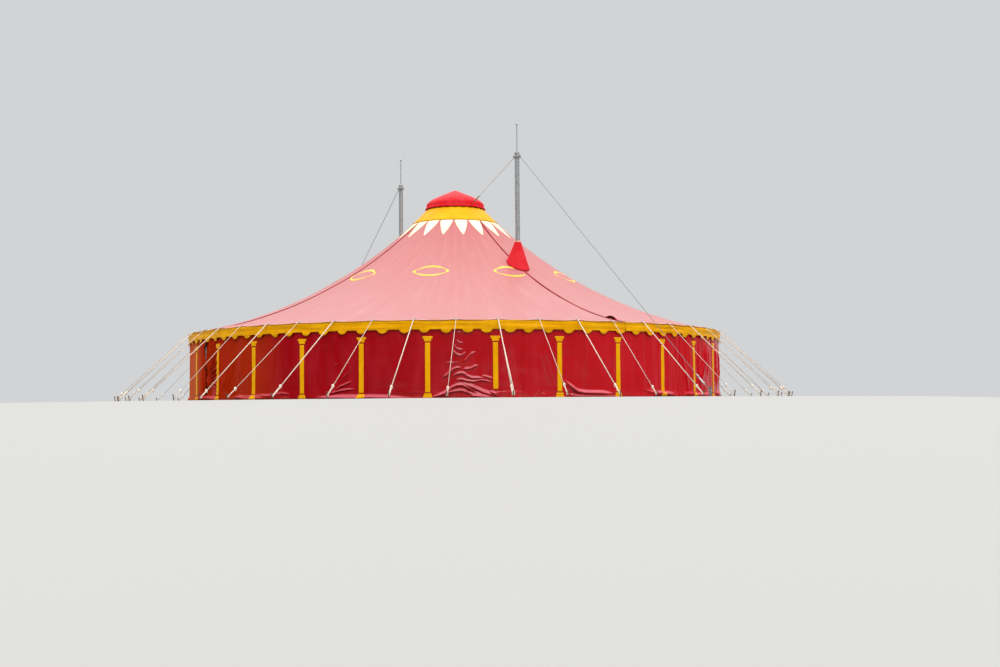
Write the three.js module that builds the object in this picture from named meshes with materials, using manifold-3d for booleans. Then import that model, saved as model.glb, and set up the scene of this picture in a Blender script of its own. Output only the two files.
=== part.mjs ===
// A round circus big top: a cloth roof in four laced quarters, held up by two masts and
// forty-eight side poles, with ten hanging wall sheets, a scalloped valance and guy ropes.
// Millimetres, Z up, the ground at Z 0. A bearing is in degrees round the middle of the tent,
// 0 towards -Y and 90 towards +X.
import * as THREE from 'three';
import { mergeVertices } from 'three/addons/utils/BufferGeometryUtils.js';
import Module from 'manifold-3d';

const wasm = await Module();
wasm.setup();

// Driving dimensions
const EAVE_RADIUS = 14000;
const EAVE_HEIGHT = 3410;
const CLOTH = 20; // thickness of the coated cloth pieces, hems included
const GAP = 0.3; // clearance between pieces that touch

const POLE_COUNT = 48;
const POLE_RADIUS = 13850;
const POLE_WIDTH = 60;
const PIN_HEIGHT = 150; // how far a pole's pin stands over the eave
const BELT_WIDTH = 200; // webbing belt round the eave
const ROPE_WIDTH = 36;
const STAKE_WIDTH = 50;
const STAKE_HEIGHT = 280;
const ROPE_GRIP = 130; // height at which a rope holds its stake
const USUAL_REACH = 17500; // from the middle of the tent to a usual stake
// Stakes that were driven elsewhere, from bearing -52.5 to 52.5, and the same on the far side
const REACHES = [17700, 17460, 17830, 18700, 19130, 19460, 19880, 17920,
  17500, 17500, 17640, 17000, 17500, 17430, 17500];
const MIDDLE_STAKE_SHIFT = -1.2; // the front and rear middle stakes stand this far off their poles

const SEAM_BEARING = 33; // the first of four seams between the roof's quarters
const ROOF_STEPS = 10;
const CROWN_RADIUS = 1500; // outer radius of the steel ring that the roof hangs from
const RING_WIDTH = 100;

const VALANCE_RADIUS = 13965;
const VALANCE_HEM = 3010; // height of the straight lower edge
const LOBE_TIP = 2850;
const LOBES_PER_BAY = 2;

const WALL_RADIUS = 13900;
const WALL_CLOTH = 15;
const WALL_HEM = 12; // height of the wall's lower edge over the ground
const SHEET_COUNT = 10;
const FIRST_JOINT = -59; // bearing where the first wall sheet starts, beside the entrance
const ENTRANCE_GAP = 240; // the slit that is left open there
const COLUMNS_PER_SHEET = 3;
const COLUMN_RELIEF = 25;

const MAST_COUNT = 2; // they stand in opposite seams
const MAST_RADIUS = 5740; // from the middle of the tent to a mast
const MAST_WIDTH = 240;
const MAST_HEIGHT = 12400;
const MAST_TIP = 13900;
const MAST_HOLE = 600;
const FOOT_WIDTH = 700;
const FOOT_PLATE = 30;
const HEAD_PLATE = 420; // collar at the mast's head that the cables are shackled to
const HEAD_PLATE_THICK = 60;
const CABLE_WIDTH = 24;
const CABLE_HEIGHT = MAST_HEIGHT - 170; // where the cables meet the head plate
const CABLE_GRIP = 210; // height at which a mast's cable holds its anchor
const ANCHOR_REACH = 19300;
const ANCHOR_WIDTH = 90;
const ANCHOR_HEIGHT = 420;
const SLEEVE_FOOT = 560; // radius of a mast's cloth sleeve where it meets the roof
const SLEEVE_HEIGHT = 1250;

const COLLAR_RADIUS = 2310;
const CAP_HEIGHT = 960;

const POLE_STEP = 360 / POLE_COUNT;
const MAST_STEP = 360 / MAST_COUNT;
const BELT_INNER = EAVE_RADIUS - BELT_WIDTH;
const RADIANS = Math.PI / 180;

const roofCloth = { color: 0xeeb0ac, roughness: 0.55, metalness: 0 };
const yellowCloth = { color: 0xf0b010, roughness: 0.5, metalness: 0 };
const crimsonCloth = { color: 0xb8101c, roughness: 0.4, metalness: 0 };
const ropeFibre = { color: 0xe8e0d0, roughness: 0.8, metalness: 0 };
const galvanised = { color: 0x9a9c9c, roughness: 0.4, metalness: 0.9 };

// Height of the roof's upper face, steeper towards the crown
function roofHeight(radius) {
  const inward = 1 - radius / EAVE_RADIUS;
  const rise = inward * (0.1654 + inward * (0.465 + inward * (-0.2275 + inward * 0.2063)));
  return EAVE_HEIGHT + EAVE_RADIUS * rise;
}

// The cloth runs straight from pole to pole, so it comes closer to the middle between them
function chord(bearing) {
  const past = ((bearing % POLE_STEP) + POLE_STEP) % POLE_STEP;
  return Math.cos((POLE_STEP / 2) * RADIANS) / Math.cos((past - POLE_STEP / 2) * RADIANS);
}

function place(radius, bearing, height) {
  const turn = bearing * RADIANS;
  return new THREE.Vector3(radius * Math.sin(turn), -radius * Math.cos(turn), height);
}

// Turns a shape drawn with X along the rim, Y up and Z outwards, to stand at a bearing
function stand(geometry, radius, bearing, height) {
  const turn = bearing * RADIANS;
  const along = new THREE.Vector3(Math.cos(turn), Math.sin(turn), 0);
  const outward = new THREE.Vector3(Math.sin(turn), -Math.cos(turn), 0);
  const frame = new THREE.Matrix4().makeBasis(along, new THREE.Vector3(0, 0, 1), outward);
  frame.setPosition(place(radius, bearing, height));
  return geometry.applyMatrix4(frame);
}

// Bearings of a piece's ends and of the poles between them
function poleStations(from, to) {
  const stations = [from];
  for (let n = Math.floor(from / POLE_STEP) + 1; n * POLE_STEP < to - 0.01; n += 1) {
    stations.push(n * POLE_STEP);
  }
  stations.push(to);
  return stations;
}

// A closed solid through one [radius, height] outline at each bearing
function loft(outlines, stations) {
  const size = outlines[0].length;
  const points = [];
  stations.forEach((bearing, j) => {
    for (const [radius, height] of outlines[j]) {
      points.push(...place(radius * chord(bearing), bearing, height).toArray());
    }
  });
  const faces = [];
  for (let j = 0; j < stations.length - 1; j += 1) {
    for (let i = 0; i < size; i += 1) {
      const a = j * size + i;
      const b = j * size + ((i + 1) % size);
      faces.push(a, b, b + size, a, b + size, a + size);
    }
  }
  [0, stations.length - 1].forEach((j) => {
    const contour = outlines[j].map(([radius, height]) => new THREE.Vector2(radius, height));
    const facing = Math.sign(THREE.ShapeUtils.area(contour)) * (j === 0 ? -1 : 1);
    for (const corners of THREE.ShapeUtils.triangulateShape(contour, [])) {
      const turned = Math.sign(THREE.ShapeUtils.area(corners.map((c) => contour[c])));
      const ordered = turned === facing ? corners : [corners[0], corners[2], corners[1]];
      faces.push(...ordered.map((c) => j * size + c));
    }
  });
  const geometry = new THREE.BufferGeometry();
  geometry.setAttribute('position', new THREE.Float32BufferAttribute(points, 3));
  geometry.setIndex(faces);
  if (signedVolume(geometry) < 0) {
    for (let k = 0; k < faces.length; k += 3) {
      [faces[k + 1], faces[k + 2]] = [faces[k + 2], faces[k + 1]];
    }
    geometry.setIndex(faces);
  }
  return geometry;
}

function signedVolume(geometry) {
  const corner = (k) => new THREE.Vector3().fromBufferAttribute(geometry.attributes.position, k);
  const index = geometry.index.array;
  let volume = 0;
  for (let k = 0; k < index.length; k += 3) {
    const side = corner(index[k + 1]).cross(corner(index[k + 2]));
    volume += corner(index[k]).dot(side) / 6;
  }
  return volume;
}

function sweep(outline, stations) {
  return loft(stations.map(() => outline), stations);
}

function rod(from, to, width, sides) {
  const axis = new THREE.Vector3().subVectors(to, from);
  const geometry = new THREE.CylinderGeometry(width / 2, width / 2, axis.length(), sides);
  const turn = new THREE.Quaternion().setFromUnitVectors(
    new THREE.Vector3(0, 1, 0), axis.clone().normalize());
  geometry.applyQuaternion(turn);
  const middle = new THREE.Vector3().addVectors(from, to).multiplyScalar(0.5);
  return geometry.translate(middle.x, middle.y, middle.z);
}

// A turned piece from a closed [radius, height] outline, its corners on the poles' bearings
function turned(outline, segments) {
  const points = outline.map(([radius, height]) => new THREE.Vector2(radius, height));
  if (THREE.ShapeUtils.area(points) < 0) points.reverse();
  points.push(points[0].clone());
  return new THREE.LatheGeometry(points, segments).rotateX(Math.PI / 2);
}

function solid(geometry) {
  const bare = geometry.clone();
  bare.deleteAttribute('normal');
  bare.deleteAttribute('uv');
  const merged = mergeVertices(bare, 0.01);
  return new wasm.Manifold(new wasm.Mesh({
    numProp: 3,
    vertProperties: new Float32Array(merged.attributes.position.array),
    triVerts: new Uint32Array(merged.index.array),
  }));
}

function join(geometries) {
  return geometries.map(solid).reduce((whole, piece) => whole.add(piece));
}

function shape(manifold) {
  const { vertProperties, triVerts } = manifold.getMesh();
  const geometry = new THREE.BufferGeometry();
  geometry.setAttribute('position', new THREE.BufferAttribute(vertProperties, 3));
  geometry.setIndex(new THREE.BufferAttribute(triVerts, 1));
  return geometry;
}

const tent = new THREE.Group();

function add(name, manifold, finish, turn = 0) {
  const geometry = shape(manifold);
  geometry.computeVertexNormals();
  const mesh = new THREE.Mesh(geometry, new THREE.MeshStandardMaterial(finish));
  mesh.name = name;
  mesh.rotation.z = turn * RADIANS;
  tent.add(mesh);
}

// Points up the roof's upper face, from the belt to the crown ring
function roofLine(lift) {
  const line = [];
  for (let i = 0; i <= ROOF_STEPS; i += 1) {
    const radius = BELT_INNER + ((CROWN_RADIUS - BELT_INNER) * i) / ROOF_STEPS;
    line.push([radius, roofHeight(radius) + lift]);
  }
  return line;
}

// Height of the roof's flat-sided upper face
function roofFace(radius) {
  const line = roofLine(0);
  const k = line.findIndex(([r]) => r <= radius);
  const [[outer, low], [inner, high]] = [line[k - 1], line[k]];
  return low + ((high - low) * (outer - radius)) / (outer - inner);
}

function mastCutter(width, low, high) {
  const hole = new THREE.CylinderGeometry(width / 2, width / 2, high - low, 12);
  return stand(hole, MAST_RADIUS, SEAM_BEARING, (low + high) / 2);
}

// Roof quarters, each from one seam to the next, with half a mast hole in one of its two seams
function addRoof() {
  const line = roofLine(0);
  line[0][0] -= GAP;
  line[ROOF_STEPS][0] += GAP;
  const under = line.map(([radius, height]) => [radius, height - CLOTH]).reverse();
  const seam = (GAP / 2 / CROWN_RADIUS) / RADIANS;
  const stations = poleStations(SEAM_BEARING + seam, SEAM_BEARING + 90 - seam);
  const hole = mastCutter(MAST_HOLE, 5000, 9000);
  const nextHole = hole.clone().rotateZ(90 * RADIANS);
  const quarter = solid(sweep([...line, ...under], stations));
  const holed = [quarter.subtract(solid(hole)), quarter.subtract(solid(nextHole))];
  for (let n = 0; n < 4; n += 1) {
    add(`roof_quarter_${n + 1}`, holed[n % 2], roofCloth, 90 * n);
  }
}

// Valance: a yellow band under the eave belt, with two rounded lobes in each bay
function addValance() {
  const top = roofHeight(EAVE_RADIUS) - CLOTH - GAP;
  const lobeStep = POLE_STEP / LOBES_PER_BAY;
  const lobeEdges = [-0.9, -0.55, 0.55, 0.9];
  const stations = [SEAM_BEARING + 0.005];
  const hems = [VALANCE_HEM];
  const first = Math.ceil((SEAM_BEARING - lobeStep / 2) / lobeStep) * lobeStep + lobeStep / 2;
  for (let middle = first; middle < SEAM_BEARING + 90; middle += lobeStep) {
    lobeEdges.forEach((edge, k) => {
      stations.push(middle + edge);
      hems.push(k === 1 || k === 2 ? LOBE_TIP : VALANCE_HEM);
    });
    const next = middle + lobeStep / 2;
    if (Math.abs(next / POLE_STEP - Math.round(next / POLE_STEP)) < 0.01) {
      stations.push(next);
      hems.push(VALANCE_HEM);
    }
  }
  stations.push(SEAM_BEARING + 90 - 0.005);
  hems.push(VALANCE_HEM);
  const inner = VALANCE_RADIUS - CLOTH;
  const outlines = hems.map((hem) => [
    [VALANCE_RADIUS, top], [VALANCE_RADIUS, hem], [inner, hem], [inner, top]]);
  const quarter = solid(loft(outlines, stations));
  for (let n = 0; n < 4; n += 1) {
    add(`valance_${n + 1}`, quarter, yellowCloth, 90 * n);
  }
}

// A column's outline: base, shaft and capital, sewn on the wall
function columnOutline() {
  const half = [[0, 60], [190, 60], [150, 240], [118, 270], [118, 2430], [240, 2610],
    [240, 2680], [0, 2680]];
  const outline = new THREE.Shape();
  half.forEach(([x, y], k) => (k === 0 ? outline.moveTo(x, y) : outline.lineTo(x, y)));
  [...half].reverse().forEach(([x, y]) => outline.lineTo(-x, y));
  return outline;
}

// Ten wall sheets hang from the eave belt, with three columns each
function addWalls() {
  const top = roofHeight(EAVE_RADIUS) - CLOTH - GAP;
  const inner = WALL_RADIUS - WALL_CLOTH;
  const outline = [[WALL_RADIUS, top], [WALL_RADIUS, WALL_HEM], [inner, WALL_HEM], [inner, top]];
  const span = 360 / SHEET_COUNT;
  const joint = (GAP / 2 / WALL_RADIUS) / RADIANS;
  const slit = (ENTRANCE_GAP / 2 / WALL_RADIUS) / RADIANS;
  const sunk = WALL_CLOTH / 2;
  for (let n = 0; n < SHEET_COUNT; n += 1) {
    const from = FIRST_JOINT + span * n + (n === 0 ? slit : joint);
    const to = FIRST_JOINT + span * (n + 1) - (n === SHEET_COUNT - 1 ? slit : joint);
    const pieces = [sweep(outline, poleStations(from, to))];
    for (let k = 0; k < COLUMNS_PER_SHEET; k += 1) {
      const bearing = FIRST_JOINT + span * n + (span * (k + 0.5)) / COLUMNS_PER_SHEET;
      const column = new THREE.ExtrudeGeometry(columnOutline(), {
        depth: COLUMN_RELIEF + sunk, bevelEnabled: false });
      pieces.push(stand(column, WALL_RADIUS * chord(bearing) - sunk, bearing, 0));
    }
    add(`wall_sheet_${String(n + 1).padStart(2, '0')}`, join(pieces), crimsonCloth);
  }
}

// Bearing and distance of a pole's stake; poles are counted from the front middle one
function stakeOf(n) {
  const half = POLE_COUNT / 2;
  const fromMiddle = ((n + half / 2) % half + half) % half - half / 2;
  return {
    bearing: n * POLE_STEP + (fromMiddle === 0 ? MIDDLE_STAKE_SHIFT : 0),
    reach: REACHES[fromMiddle + (REACHES.length - 1) / 2] ?? USUAL_REACH,
  };
}

// Rim sets: a stretch of eave belt with four side poles, and four guy ropes to their stakes
function addRim() {
  const setCount = 12;
  const span = 360 / setCount;
  const outerTop = roofHeight(EAVE_RADIUS);
  const innerTop = roofHeight(BELT_INNER);
  const belt = [[EAVE_RADIUS, outerTop], [EAVE_RADIUS, outerTop - CLOTH],
    [BELT_INNER, outerTop - CLOTH], [BELT_INNER, innerTop]];
  const seam = 0.001;
  for (let set = 0; set < setCount; set += 1) {
    const from = SEAM_BEARING + span * set;
    const stations = poleStations(from + seam, from + span - seam);
    const pieces = [sweep(belt, stations)];
    for (const bearing of stations.slice(1, -1)) {
      const stake = stakeOf(Math.round(bearing / POLE_STEP));
      const poleTop = outerTop - CLOTH / 2;
      const pinTop = outerTop + PIN_HEIGHT;
      pieces.push(rod(place(POLE_RADIUS, bearing, 0), place(POLE_RADIUS, bearing, poleTop),
        POLE_WIDTH, 6));
      pieces.push(rod(place(POLE_RADIUS, bearing, poleTop), place(POLE_RADIUS, bearing, pinTop),
        POLE_WIDTH / 3, 4));
      pieces.push(rod(place(EAVE_RADIUS - 15, bearing, outerTop - 8),
        place(stake.reach, stake.bearing, ROPE_GRIP), ROPE_WIDTH, 4));
      pieces.push(rod(place(stake.reach, stake.bearing, 0),
        place(stake.reach, stake.bearing, STAKE_HEIGHT), STAKE_WIDTH, 5));
    }
    add(`rim_set_${String(set + 1).padStart(2, '0')}`, join(pieces), ropeFibre);
  }
}

// Masts stand in the seams, with a foot plate, a head plate and a spike
function addMasts() {
  const pieces = [
    rod(new THREE.Vector3(0, 0, 0), new THREE.Vector3(0, 0, MAST_HEIGHT), MAST_WIDTH, 12),
    rod(new THREE.Vector3(0, 0, MAST_HEIGHT - 60), new THREE.Vector3(0, 0, MAST_TIP), 60, 6),
    rod(new THREE.Vector3(0, 0, CABLE_HEIGHT - HEAD_PLATE_THICK / 2),
      new THREE.Vector3(0, 0, CABLE_HEIGHT + HEAD_PLATE_THICK / 2), HEAD_PLATE, 12),
    new THREE.BoxGeometry(FOOT_WIDTH, FOOT_WIDTH, FOOT_PLATE).translate(0, 0, FOOT_PLATE / 2),
  ];
  const mast = join(pieces);
  for (let n = 0; n < MAST_COUNT; n += 1) {
    const bearing = SEAM_BEARING + MAST_STEP * n;
    const foot = place(MAST_RADIUS, bearing, 0);
    add(`mast_${n + 1}`, mast, galvanised, bearing);
    tent.children.at(-1).position.copy(foot);
  }
}

// Cloth sleeves close the roof round the masts
function addSleeves() {
  const roofAtMast = roofHeight(MAST_RADIUS);
  const top = roofAtMast + SLEEVE_HEIGHT;
  const neck = MAST_WIDTH / 2 + GAP;
  const foot = roofAtMast - 600;
  const cone = turned([[SLEEVE_FOOT, foot], [SLEEVE_FOOT, roofAtMast - 100],
    [neck + CLOTH, top], [neck, top], [SLEEVE_FOOT - CLOTH, roofAtMast - 100],
    [SLEEVE_FOOT - CLOTH, foot]], 12);
  const middle = place(MAST_RADIUS, SEAM_BEARING, 0);
  cone.rotateZ(SEAM_BEARING * RADIANS).translate(middle.x, middle.y, 0);
  const below = [...roofLine(GAP), [CROWN_RADIUS, 0], [BELT_INNER, 0]];
  const cut = solid(sweep(below, poleStations(SEAM_BEARING - 20, SEAM_BEARING + 20)));
  const sleeve = solid(cone).subtract(cut);
  for (let n = 0; n < MAST_COUNT; n += 1) {
    add(`mast_sleeve_${n + 1}`, sleeve, crimsonCloth, MAST_STEP * n);
  }
}

// Each mast's guy cable runs over the roof to an anchor on the ground
function addMastGuys() {
  const plateEdge = MAST_RADIUS + HEAD_PLATE / 2;
  const lean = Math.atan2(CABLE_HEIGHT - CABLE_GRIP, ANCHOR_REACH - plateEdge);
  const start = plateEdge + GAP + (CABLE_WIDTH / 2) * Math.sin(lean);
  const cable = join([
    rod(place(start, 0, CABLE_HEIGHT), place(ANCHOR_REACH, 0, CABLE_GRIP), CABLE_WIDTH, 6),
    rod(place(ANCHOR_REACH, 0, 0), place(ANCHOR_REACH, 0, ANCHOR_HEIGHT), ANCHOR_WIDTH, 8),
  ]);
  for (let n = 0; n < MAST_COUNT; n += 1) {
    add(`mast_guy_${n + 1}`, cable, galvanised, SEAM_BEARING + MAST_STEP * n);
  }
}

// The crown: a steel ring on the masts' two cables, a yellow collar below it and a red cap on top
function addCrown() {
  const seat = roofHeight(CROWN_RADIUS);
  const ringTop = seat + RING_WIDTH;
  const ringInner = CROWN_RADIUS - RING_WIDTH;
  const ring = [[CROWN_RADIUS, seat - 40], [CROWN_RADIUS, ringTop],
    [ringInner, ringTop], [ringInner, seat - 40]];
  const pieces = [turned(ring, POLE_COUNT / 2)];
  const lug = [CROWN_RADIUS - 30, ringTop - 35];
  const plateEdge = MAST_RADIUS - HEAD_PLATE / 2;
  const lean = Math.atan2(CABLE_HEIGHT - lug[1], plateEdge - lug[0]);
  const end = plateEdge - GAP - (CABLE_WIDTH / 2) * Math.sin(lean);
  for (let n = 0; n < MAST_COUNT; n += 1) {
    const bearing = SEAM_BEARING + MAST_STEP * n;
    pieces.push(rod(place(lug[0], bearing, lug[1]), place(end, bearing, CABLE_HEIGHT),
      CABLE_WIDTH, 6));
  }
  add('crown_ring', join(pieces), galvanised);

  const line = [COLLAR_RADIUS, CROWN_RADIUS + GAP].map((r) => [r, roofFace(r) + GAP]);
  const over = line.map(([radius, height]) => [radius, height + CLOTH]).reverse();
  add('crown_collar', solid(turned([...line, ...over], POLE_COUNT)), yellowCloth);

  const rim = ringTop + GAP;
  const capLine = [[CROWN_RADIUS, rim], [CROWN_RADIUS - 60, rim + 260],
    [1000, rim + 560], [400, rim + 820], [0, rim + CAP_HEIGHT]];
  const capUnder = [[0, rim + CAP_HEIGHT - 40], [390, rim + 790], [980, rim + 530],
    [CROWN_RADIUS - 85, rim + 250], [CROWN_RADIUS - 30, rim]];
  add('crown_cap', solid(turned([...capLine, ...capUnder], 24)), crimsonCloth);
}

addRoof();
addValance();
addWalls();
addRim();
addMasts();
addSleeves();
addMastGuys();
addCrown();

export default tent;
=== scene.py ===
# %% [markdown]
# A round circus big top, dressed for rendering. The construction comes packed as a fixed frame:
# every mast, pole, cable and stake already has its true place in metres, with the ground at Z 0.
# This lesson puts the real cloth, ropes and finishes round it, one piece at a time.

# %% The frame
import math
import random

import bmesh
import bpy
from mathutils import Matrix, Vector, noise


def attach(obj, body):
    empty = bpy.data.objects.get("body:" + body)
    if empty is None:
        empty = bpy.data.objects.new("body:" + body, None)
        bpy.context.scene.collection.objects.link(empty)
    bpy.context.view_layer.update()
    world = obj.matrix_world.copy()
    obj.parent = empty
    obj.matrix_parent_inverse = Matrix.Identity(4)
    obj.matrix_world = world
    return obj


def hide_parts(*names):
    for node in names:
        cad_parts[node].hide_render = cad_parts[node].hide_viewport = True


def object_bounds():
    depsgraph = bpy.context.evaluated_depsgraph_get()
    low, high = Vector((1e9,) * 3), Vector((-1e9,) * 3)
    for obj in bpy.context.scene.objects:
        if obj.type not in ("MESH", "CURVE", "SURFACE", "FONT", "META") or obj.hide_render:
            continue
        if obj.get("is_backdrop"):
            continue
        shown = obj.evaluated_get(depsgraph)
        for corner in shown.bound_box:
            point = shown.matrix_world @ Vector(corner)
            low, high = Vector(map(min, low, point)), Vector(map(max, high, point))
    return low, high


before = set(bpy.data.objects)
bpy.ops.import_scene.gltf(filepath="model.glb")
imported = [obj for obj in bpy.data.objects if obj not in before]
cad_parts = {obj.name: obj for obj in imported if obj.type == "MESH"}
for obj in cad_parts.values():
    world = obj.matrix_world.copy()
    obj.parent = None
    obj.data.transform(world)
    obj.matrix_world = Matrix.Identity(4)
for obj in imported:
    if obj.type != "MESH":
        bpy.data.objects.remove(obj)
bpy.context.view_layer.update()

# %% [markdown]
# The sizes below repeat the construction's driving dimensions. A bearing is an angle in degrees
# round the middle of the tent, 0 towards the camera (-Y) and 90 to the right (+X). Ropes,
# columns, seams and lobes each start from an even spacing of bearings.

# %% Sizes
RADIUS = 14.0
EAVE = 3.41
# the roof's slope at the eave, and how it changes towards the crown
ROOF_CURVE = (0.1654, 0.465, -0.2275, 0.2063)
POLES = 48
POLE_STEP = 360 / POLES
POLE_RADIUS = 13.85
PIN_TOP = EAVE + 0.15
QUARTERS = 4
QUARTER_STEP = 360 / QUARTERS
SEAM = 33.0
CROWN = 1.5
MASTS = 2
MAST_AT = 5.74
MAST_HEAD = 12.4
MAST_TIP = 13.9
SHEETS = 10
SHEET_STEP = 360 / SHEETS
FIRST_JOINT = -59.0
WALL_RADIUS = 13.9
VALANCE_RADIUS = 13.965
COLUMNS_PER_SHEET = 3
ROPE_GRIP = 0.13
USUAL_REACH = 17.5
REACHES = [17.7, 17.46, 17.83, 18.7, 19.13, 19.46, 19.88, 17.92,
           17.5, 17.5, 17.64, 17.0, 17.5, 17.43, 17.5]
UP = Vector((0, 0, 1))


def roof_height(radius):
    """Height of the roof's face: nearly a cone at the eave, steeper towards the crown."""
    inward = 1 - radius / RADIUS
    a, b, c, d = ROOF_CURVE
    return EAVE + RADIUS * inward * (a + inward * (b + inward * (c + inward * d)))


def chord(bearing):
    """How much nearer to the middle a straight run between two poles comes."""
    past = bearing % POLE_STEP
    return math.cos(math.radians(POLE_STEP / 2)) / math.cos(math.radians(past - POLE_STEP / 2))


def place(radius, bearing, height=0.0):
    turn = math.radians(bearing)
    return Vector((radius * math.sin(turn), -radius * math.cos(turn), height))


def seam_bearing(n):
    return SEAM + QUARTER_STEP * n


def mast_bearing(n):
    return SEAM + 180 * n


def smooth(low, high, value):
    """0 below low, 1 above high, and an even ease between them; low may be the larger one."""
    share = min(1.0, max(0.0, (value - low) / (high - low)))
    return share * share * (3 - 2 * share)


def link(data, name):
    made = bpy.data.objects.new(name, data)
    bpy.context.scene.collection.objects.link(made)
    return made


print("eave circumference %.1f m, one rope every %.2f m" % (
    2 * math.pi * RADIUS, 2 * math.pi * RADIUS / POLES))

# %% [markdown]
# The camera comes first, because every later choice is judged through it. It stands about 70 m
# from the middle of the tent and a foot below its base, looks slightly up, and is held half a
# degree off level, so the eave climbs to the right. A 47 mm lens on a 36 mm sensor gives the
# photograph's framing.

# %% Camera
LENS_MM = 46.9
SENSOR_MM = 36
CAMERA_DISTANCE = 69.83
CAMERA_HEIGHT = -0.335
LOOK_RIGHT = math.radians(1.91)
LOOK_UP = math.radians(3.2)
ROLL = math.radians(0.46)

camera_data = bpy.data.cameras.new("camera")
camera_data.lens = LENS_MM
camera_data.sensor_width = SENSOR_MM
camera_data.clip_end = 500
camera = link(camera_data, "camera")
camera.location = (0, -CAMERA_DISTANCE, CAMERA_HEIGHT)
camera.rotation_euler = (math.pi / 2 + LOOK_UP, ROLL, -LOOK_RIGHT)
bpy.context.scene.camera = camera
print("camera %.1f m from the middle of the tent" % CAMERA_DISTANCE)

# %% [markdown]
# The tent stands in a plain pale studio. The floor is a disc, level under the tent and its
# stakes, that dips gently towards its rim, because the camera is slightly lower than the tent's
# base. It is a turned shape, as the crown is later: a line of points is spun round the axis.

# %% Floor
FLOOR_LEVEL = 20.6
FLOOR_DIPPED = 46.0
FLOOR_DIP = 0.6
FLOOR_RIM = 160.0
FLOOR_RADII = [0.5, 8, 14, 19, FLOOR_LEVEL, 24, 28, 32, 36, 40, FLOOR_DIPPED, 60, 90, FLOOR_RIM]


def spun(bm, profile, steps):
    """Spins a line of points, each a radius and a height, once round the tent's axis."""
    line = [bm.verts.new((radius, 0, height)) for radius, height in profile]
    edges = [bm.edges.new(pair) for pair in zip(line, line[1:])]
    bmesh.ops.spin(bm, geom=line + edges, cent=(0, 0, 0), axis=UP, angle=2 * math.pi,
                   steps=steps, use_merge=True)
    # spin makes its faces in another order each run, so they are put in the order of their points
    bm.verts.index_update()
    count = len(bm.verts)

    def rank(face):
        points = [v.index for v in face.verts]
        return min(points) * count + max(points)

    bm.faces.sort(key=rank)


def finished(bm, name, materials=(), smooth_all=True):
    """Turns a bmesh into an object with its materials."""
    mesh = bpy.data.meshes.new(name)
    bm.to_mesh(mesh)
    bm.free()
    if smooth_all:
        mesh.shade_smooth()
    for material in materials:
        mesh.materials.append(material)
    return link(mesh, name)


def studio_floor():
    bm = bmesh.new()
    spun(bm, [(r, -FLOOR_DIP * smooth(FLOOR_LEVEL, FLOOR_DIPPED, r)) for r in FLOOR_RADII], 96)
    inner = [e for e in bm.edges if e.is_boundary and e.verts[0].co.xy.length < 1]
    bmesh.ops.contextual_create(bm, geom=inner)
    bmesh.ops.recalc_face_normals(bm, faces=bm.faces)
    return finished(bm, "studio_floor")


floor = studio_floor()
floor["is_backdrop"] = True
print("floor level out to %.1f m, then it dips %.1f m" % (FLOOR_LEVEL, FLOOR_DIP))

# %% [markdown]
# One small function adds a shader node with its settings and links, and one turns a colour
# picked from the screen, an sRGB hex value, into the linear numbers that shaders use. Every
# finish is then built in the same way: it starts from one colour, and worn, dirty or bleached
# places, and on some cloths painted highlights and painted shade, are laid over it one after the
# other, each where a pattern of a real size is strong.

# %% Material helpers
WHOLE = (0.0, 1.0)  # the range of a pattern that is already a share


def colour(hex_code):
    channels = [int(hex_code[i:i + 2], 16) / 255 for i in (1, 3, 5)]
    linear = [c / 12.92 if c <= 0.04045 else ((c + 0.055) / 1.055) ** 2.4 for c in channels]
    return (*linear, 1.0)


def node(tree, kind, inputs=(), output=0, **settings):
    """Adds a node and returns one of its outputs, or all of them if output is None.

    Inputs come in their order or by name, each a plain value or another node's output.
    """
    made = tree.nodes.new("ShaderNode" + kind)
    for key, value in settings.items():
        setattr(made, key, value)
    for key, value in inputs.items() if isinstance(inputs, dict) else enumerate(inputs):
        if isinstance(value, bpy.types.NodeSocket):
            tree.links.new(value, made.inputs[key])
        else:
            made.inputs[key].default_value = value
    return made.outputs if output is None else made.outputs[output]


def new_material(name):
    material = bpy.data.materials.new(name)
    material.use_nodes = True
    material.node_tree.nodes.clear()
    return material, material.node_tree


def surface(tree, inputs):
    """Ends a material with one surface shader that takes these inputs."""
    shader = node(tree, "BsdfPrincipled", inputs)
    node(tree, "OutputMaterial", [shader], None)


def tint(tree, base, pattern, low_high, amount, hex_code):
    """Lays a colour over the base: none where the pattern is low, the full amount where high."""
    share = node(tree, "MapRange", [pattern, *low_high, 0.0, amount])
    # of a mix's sockets, 6 and 7 are the two colours, and output 2 is the mixed one
    return node(tree, "Mix", {0: share, 6: base, 7: colour(hex_code)}, 2, data_type="RGBA")


def patchy(tree, base, vector, size_m, detail, low_high, amount, hex_code):
    """Lays a colour over the base in soft patches that are about size_m across."""
    patches = node(tree, "TexNoise", {"Vector": vector, "Scale": 1 / size_m, "Detail": detail})
    return tint(tree, base, patches, low_high, amount, hex_code)


print("material helpers ready")

# %% [markdown]
# The tent's skin is PVC-coated polyester, the lorry-tarpaulin cloth of every modern big top. A
# woven base is dipped and calendered, so it has a soft plastic gloss with a faint cloth grain.
# Each width is welded to the next with a lap, which shows as a fine raised line. On the roof and
# the wall the laps follow bearings, so the bearing is worked out from Object coordinates.

# %% Coated cloth
GRAIN_M = 0.012  # the true threads, about 1 mm apart, would not show


def positions(tree):
    """Object coordinates in metres, and the same split into X, Y and Z."""
    coordinates = node(tree, "TexCoord", output="Object")
    return coordinates, node(tree, "SeparateXYZ", [coordinates], None)


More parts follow.
